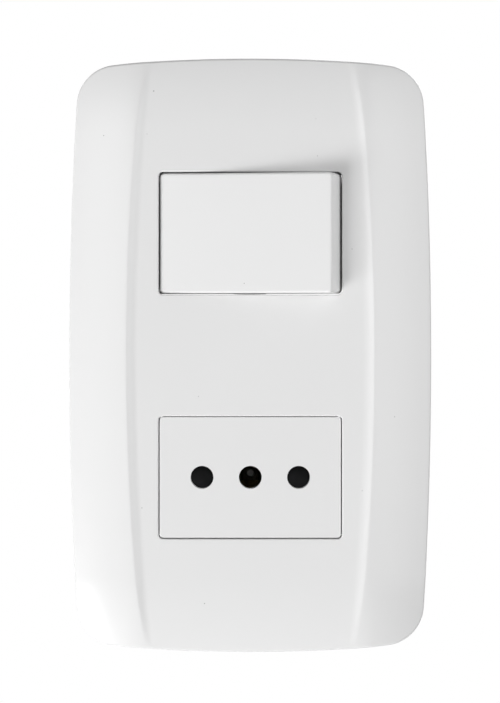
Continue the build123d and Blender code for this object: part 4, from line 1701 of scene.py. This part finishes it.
@dataclass
class Studio:
    """The pale floor, the white surroundings, the soft lamps and the camera."""

    floor_height: float = -0.95
    floor_half: float = 3.0
    floor_white: float = 0.82
    floor_glow: float = 0.82
    room_strength: float = 0.155
    camera_place: Point = (-0.00006, -0.3875, 0.00075)
    lens: float = 99.0
    sensor: float = 36.0
    lamps: tuple[Lamp, ...] = (
        Lamp("key_softbox", (-0.675, -0.405, -0.436), 0.46, 0.46, 12.3),
        Lamp("left_card", (-0.516, -0.737, 0.2), 0.38, 0.38, 1.2),
        Lamp("right_card", (0.651, -0.608, 0.17), 0.72, 0.75, 2.6),
        Lamp("rear_card", (0.45, 1.10, 0.55), 0.80, 0.80, 2.2),
    )

    def build(self) -> None:
        """Set up the whole studio."""
        self._floor()
        self._surroundings()
        for lamp in self.lamps:
            lamp.light()
        self._camera()
        bpy.context.scene.view_settings.view_transform = "Standard"

    def _seen(self, maker: NodeMaker) -> Value:
        """Tell the rays that show a surface as a picture: from the camera, a mirror or glass.

        Args:
            maker: Adds the nodes.

        Returns:
            1 for those rays and 0 for all others.
        """
        path = maker.add("ShaderNodeLightPath").outputs
        names = ("Is Camera Ray", "Is Glossy Ray", "Is Transmission Ray")
        camera, glossy, through = (Value(maker, path[name]) for name in names)
        return camera.greater(glossy).greater(through)

    def _floor(self) -> None:
        """Lay the floor well below the object, white to the eye but with the object's shadow."""
        half = self.floor_half
        mesh = bpy.data.meshes.new("floor")
        corners = [(-half, -half), (half, -half), (half, half), (-half, half)]
        mesh.from_pydata([(x, y, self.floor_height) for x, y in corners], [], [(0, 1, 2, 3)])
        floor = put_in_scene("floor", mesh)
        material = bpy.data.materials.new("floor_paper")
        maker = fresh_nodes(material)
        matt = maker.out("ShaderNodeBsdfDiffuse", {"Color": (*[self.floor_white] * 3, 1.0)})
        glow = {"Color": (1, 1, 1, 1), "Strength": self._seen(maker) * self.floor_glow}
        white = maker.out("ShaderNodeEmission", glow)
        both = maker.out("ShaderNodeAddShader", {0: matt, 1: white})
        maker.add("ShaderNodeOutputMaterial", {"Surface": both})
        wear(floor, material)

    def _surroundings(self) -> None:
        """Make the room white to the eye, and a plain soft light on the object."""
        world = bpy.data.worlds.new("white_room")
        bpy.context.scene.world = world
        maker = fresh_nodes(world)
        seen = self._seen(maker)
        strength = seen + (1 - seen) * self.room_strength
        shader = maker.out("ShaderNodeBackground", {"Color": (1, 1, 1, 1), "Strength": strength})
        maker.add("ShaderNodeOutputWorld", {"Surface": shader})

    def _camera(self) -> None:
        """Place the camera straight in front of the plate, as in the photograph."""
        data = bpy.data.cameras.new("camera")
        data.lens = self.lens
        data.sensor_width = self.sensor
        camera = put_in_scene("camera", data)
        camera.location = self.camera_place
        camera.rotation_euler = (QUARTER_TURN, 0.0, 0.0)
        bpy.context.scene.camera = camera


@dataclass
class CadPieces:
    """The CAD nodes that keep their own mesh, by finish."""

    finishes: Mapping[Finish, tuple[str, ...]] = field(
        default_factory=lambda: {
            Finish.FRAME: ("support_frame", "plunger"),
            Finish.HOUSING: ("switch_chassis", "switch_housing", "socket_body"),
            Finish.KEY: ("rocker_key",),
            Finish.FACE: ("socket_face",),
            Finish.SHUTTER: ("shutter",),
            Finish.BRASS: ("contact_lever", "line_strip", "common_strip"),
            Finish.SILVER: ("moving_contact", "fixed_contact"),
            Finish.TERMINAL: ("switch_terminals", "socket_terminals"),
            Finish.BRONZE: ("live_contact", "neutral_contact", "earth_contact"),
            Finish.RIVET_PAINTED_SHADE: ("contact_rivets",),
        }
    )

    def dress(self, nodes: Mapping[str, bpy.types.Object]) -> None:
        """Give each node its finish.

        Args:
            nodes: The frame's CAD nodes, by name.
        """
        for finish, names in self.finishes.items():
            for name in names:
                wear(nodes[name], finish.material())
                LOG.info("%s: CAD mesh with %s", name, finish.slot)


def main() -> None:
    """Build the studio and every piece, in order."""
    logging.basicConfig(level=logging.INFO, format="%(name)s %(message)s")
    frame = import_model()
    Studio().build()
    settle(CoverPlate().build(), "base", Finish.PLATE, "cover_plate")
    for pieces in (*screw_sets(), *coil_springs()):
        pieces.finish()
    CadPieces().dress(frame["nodes"])


if __name__ == "__main__":
    main()
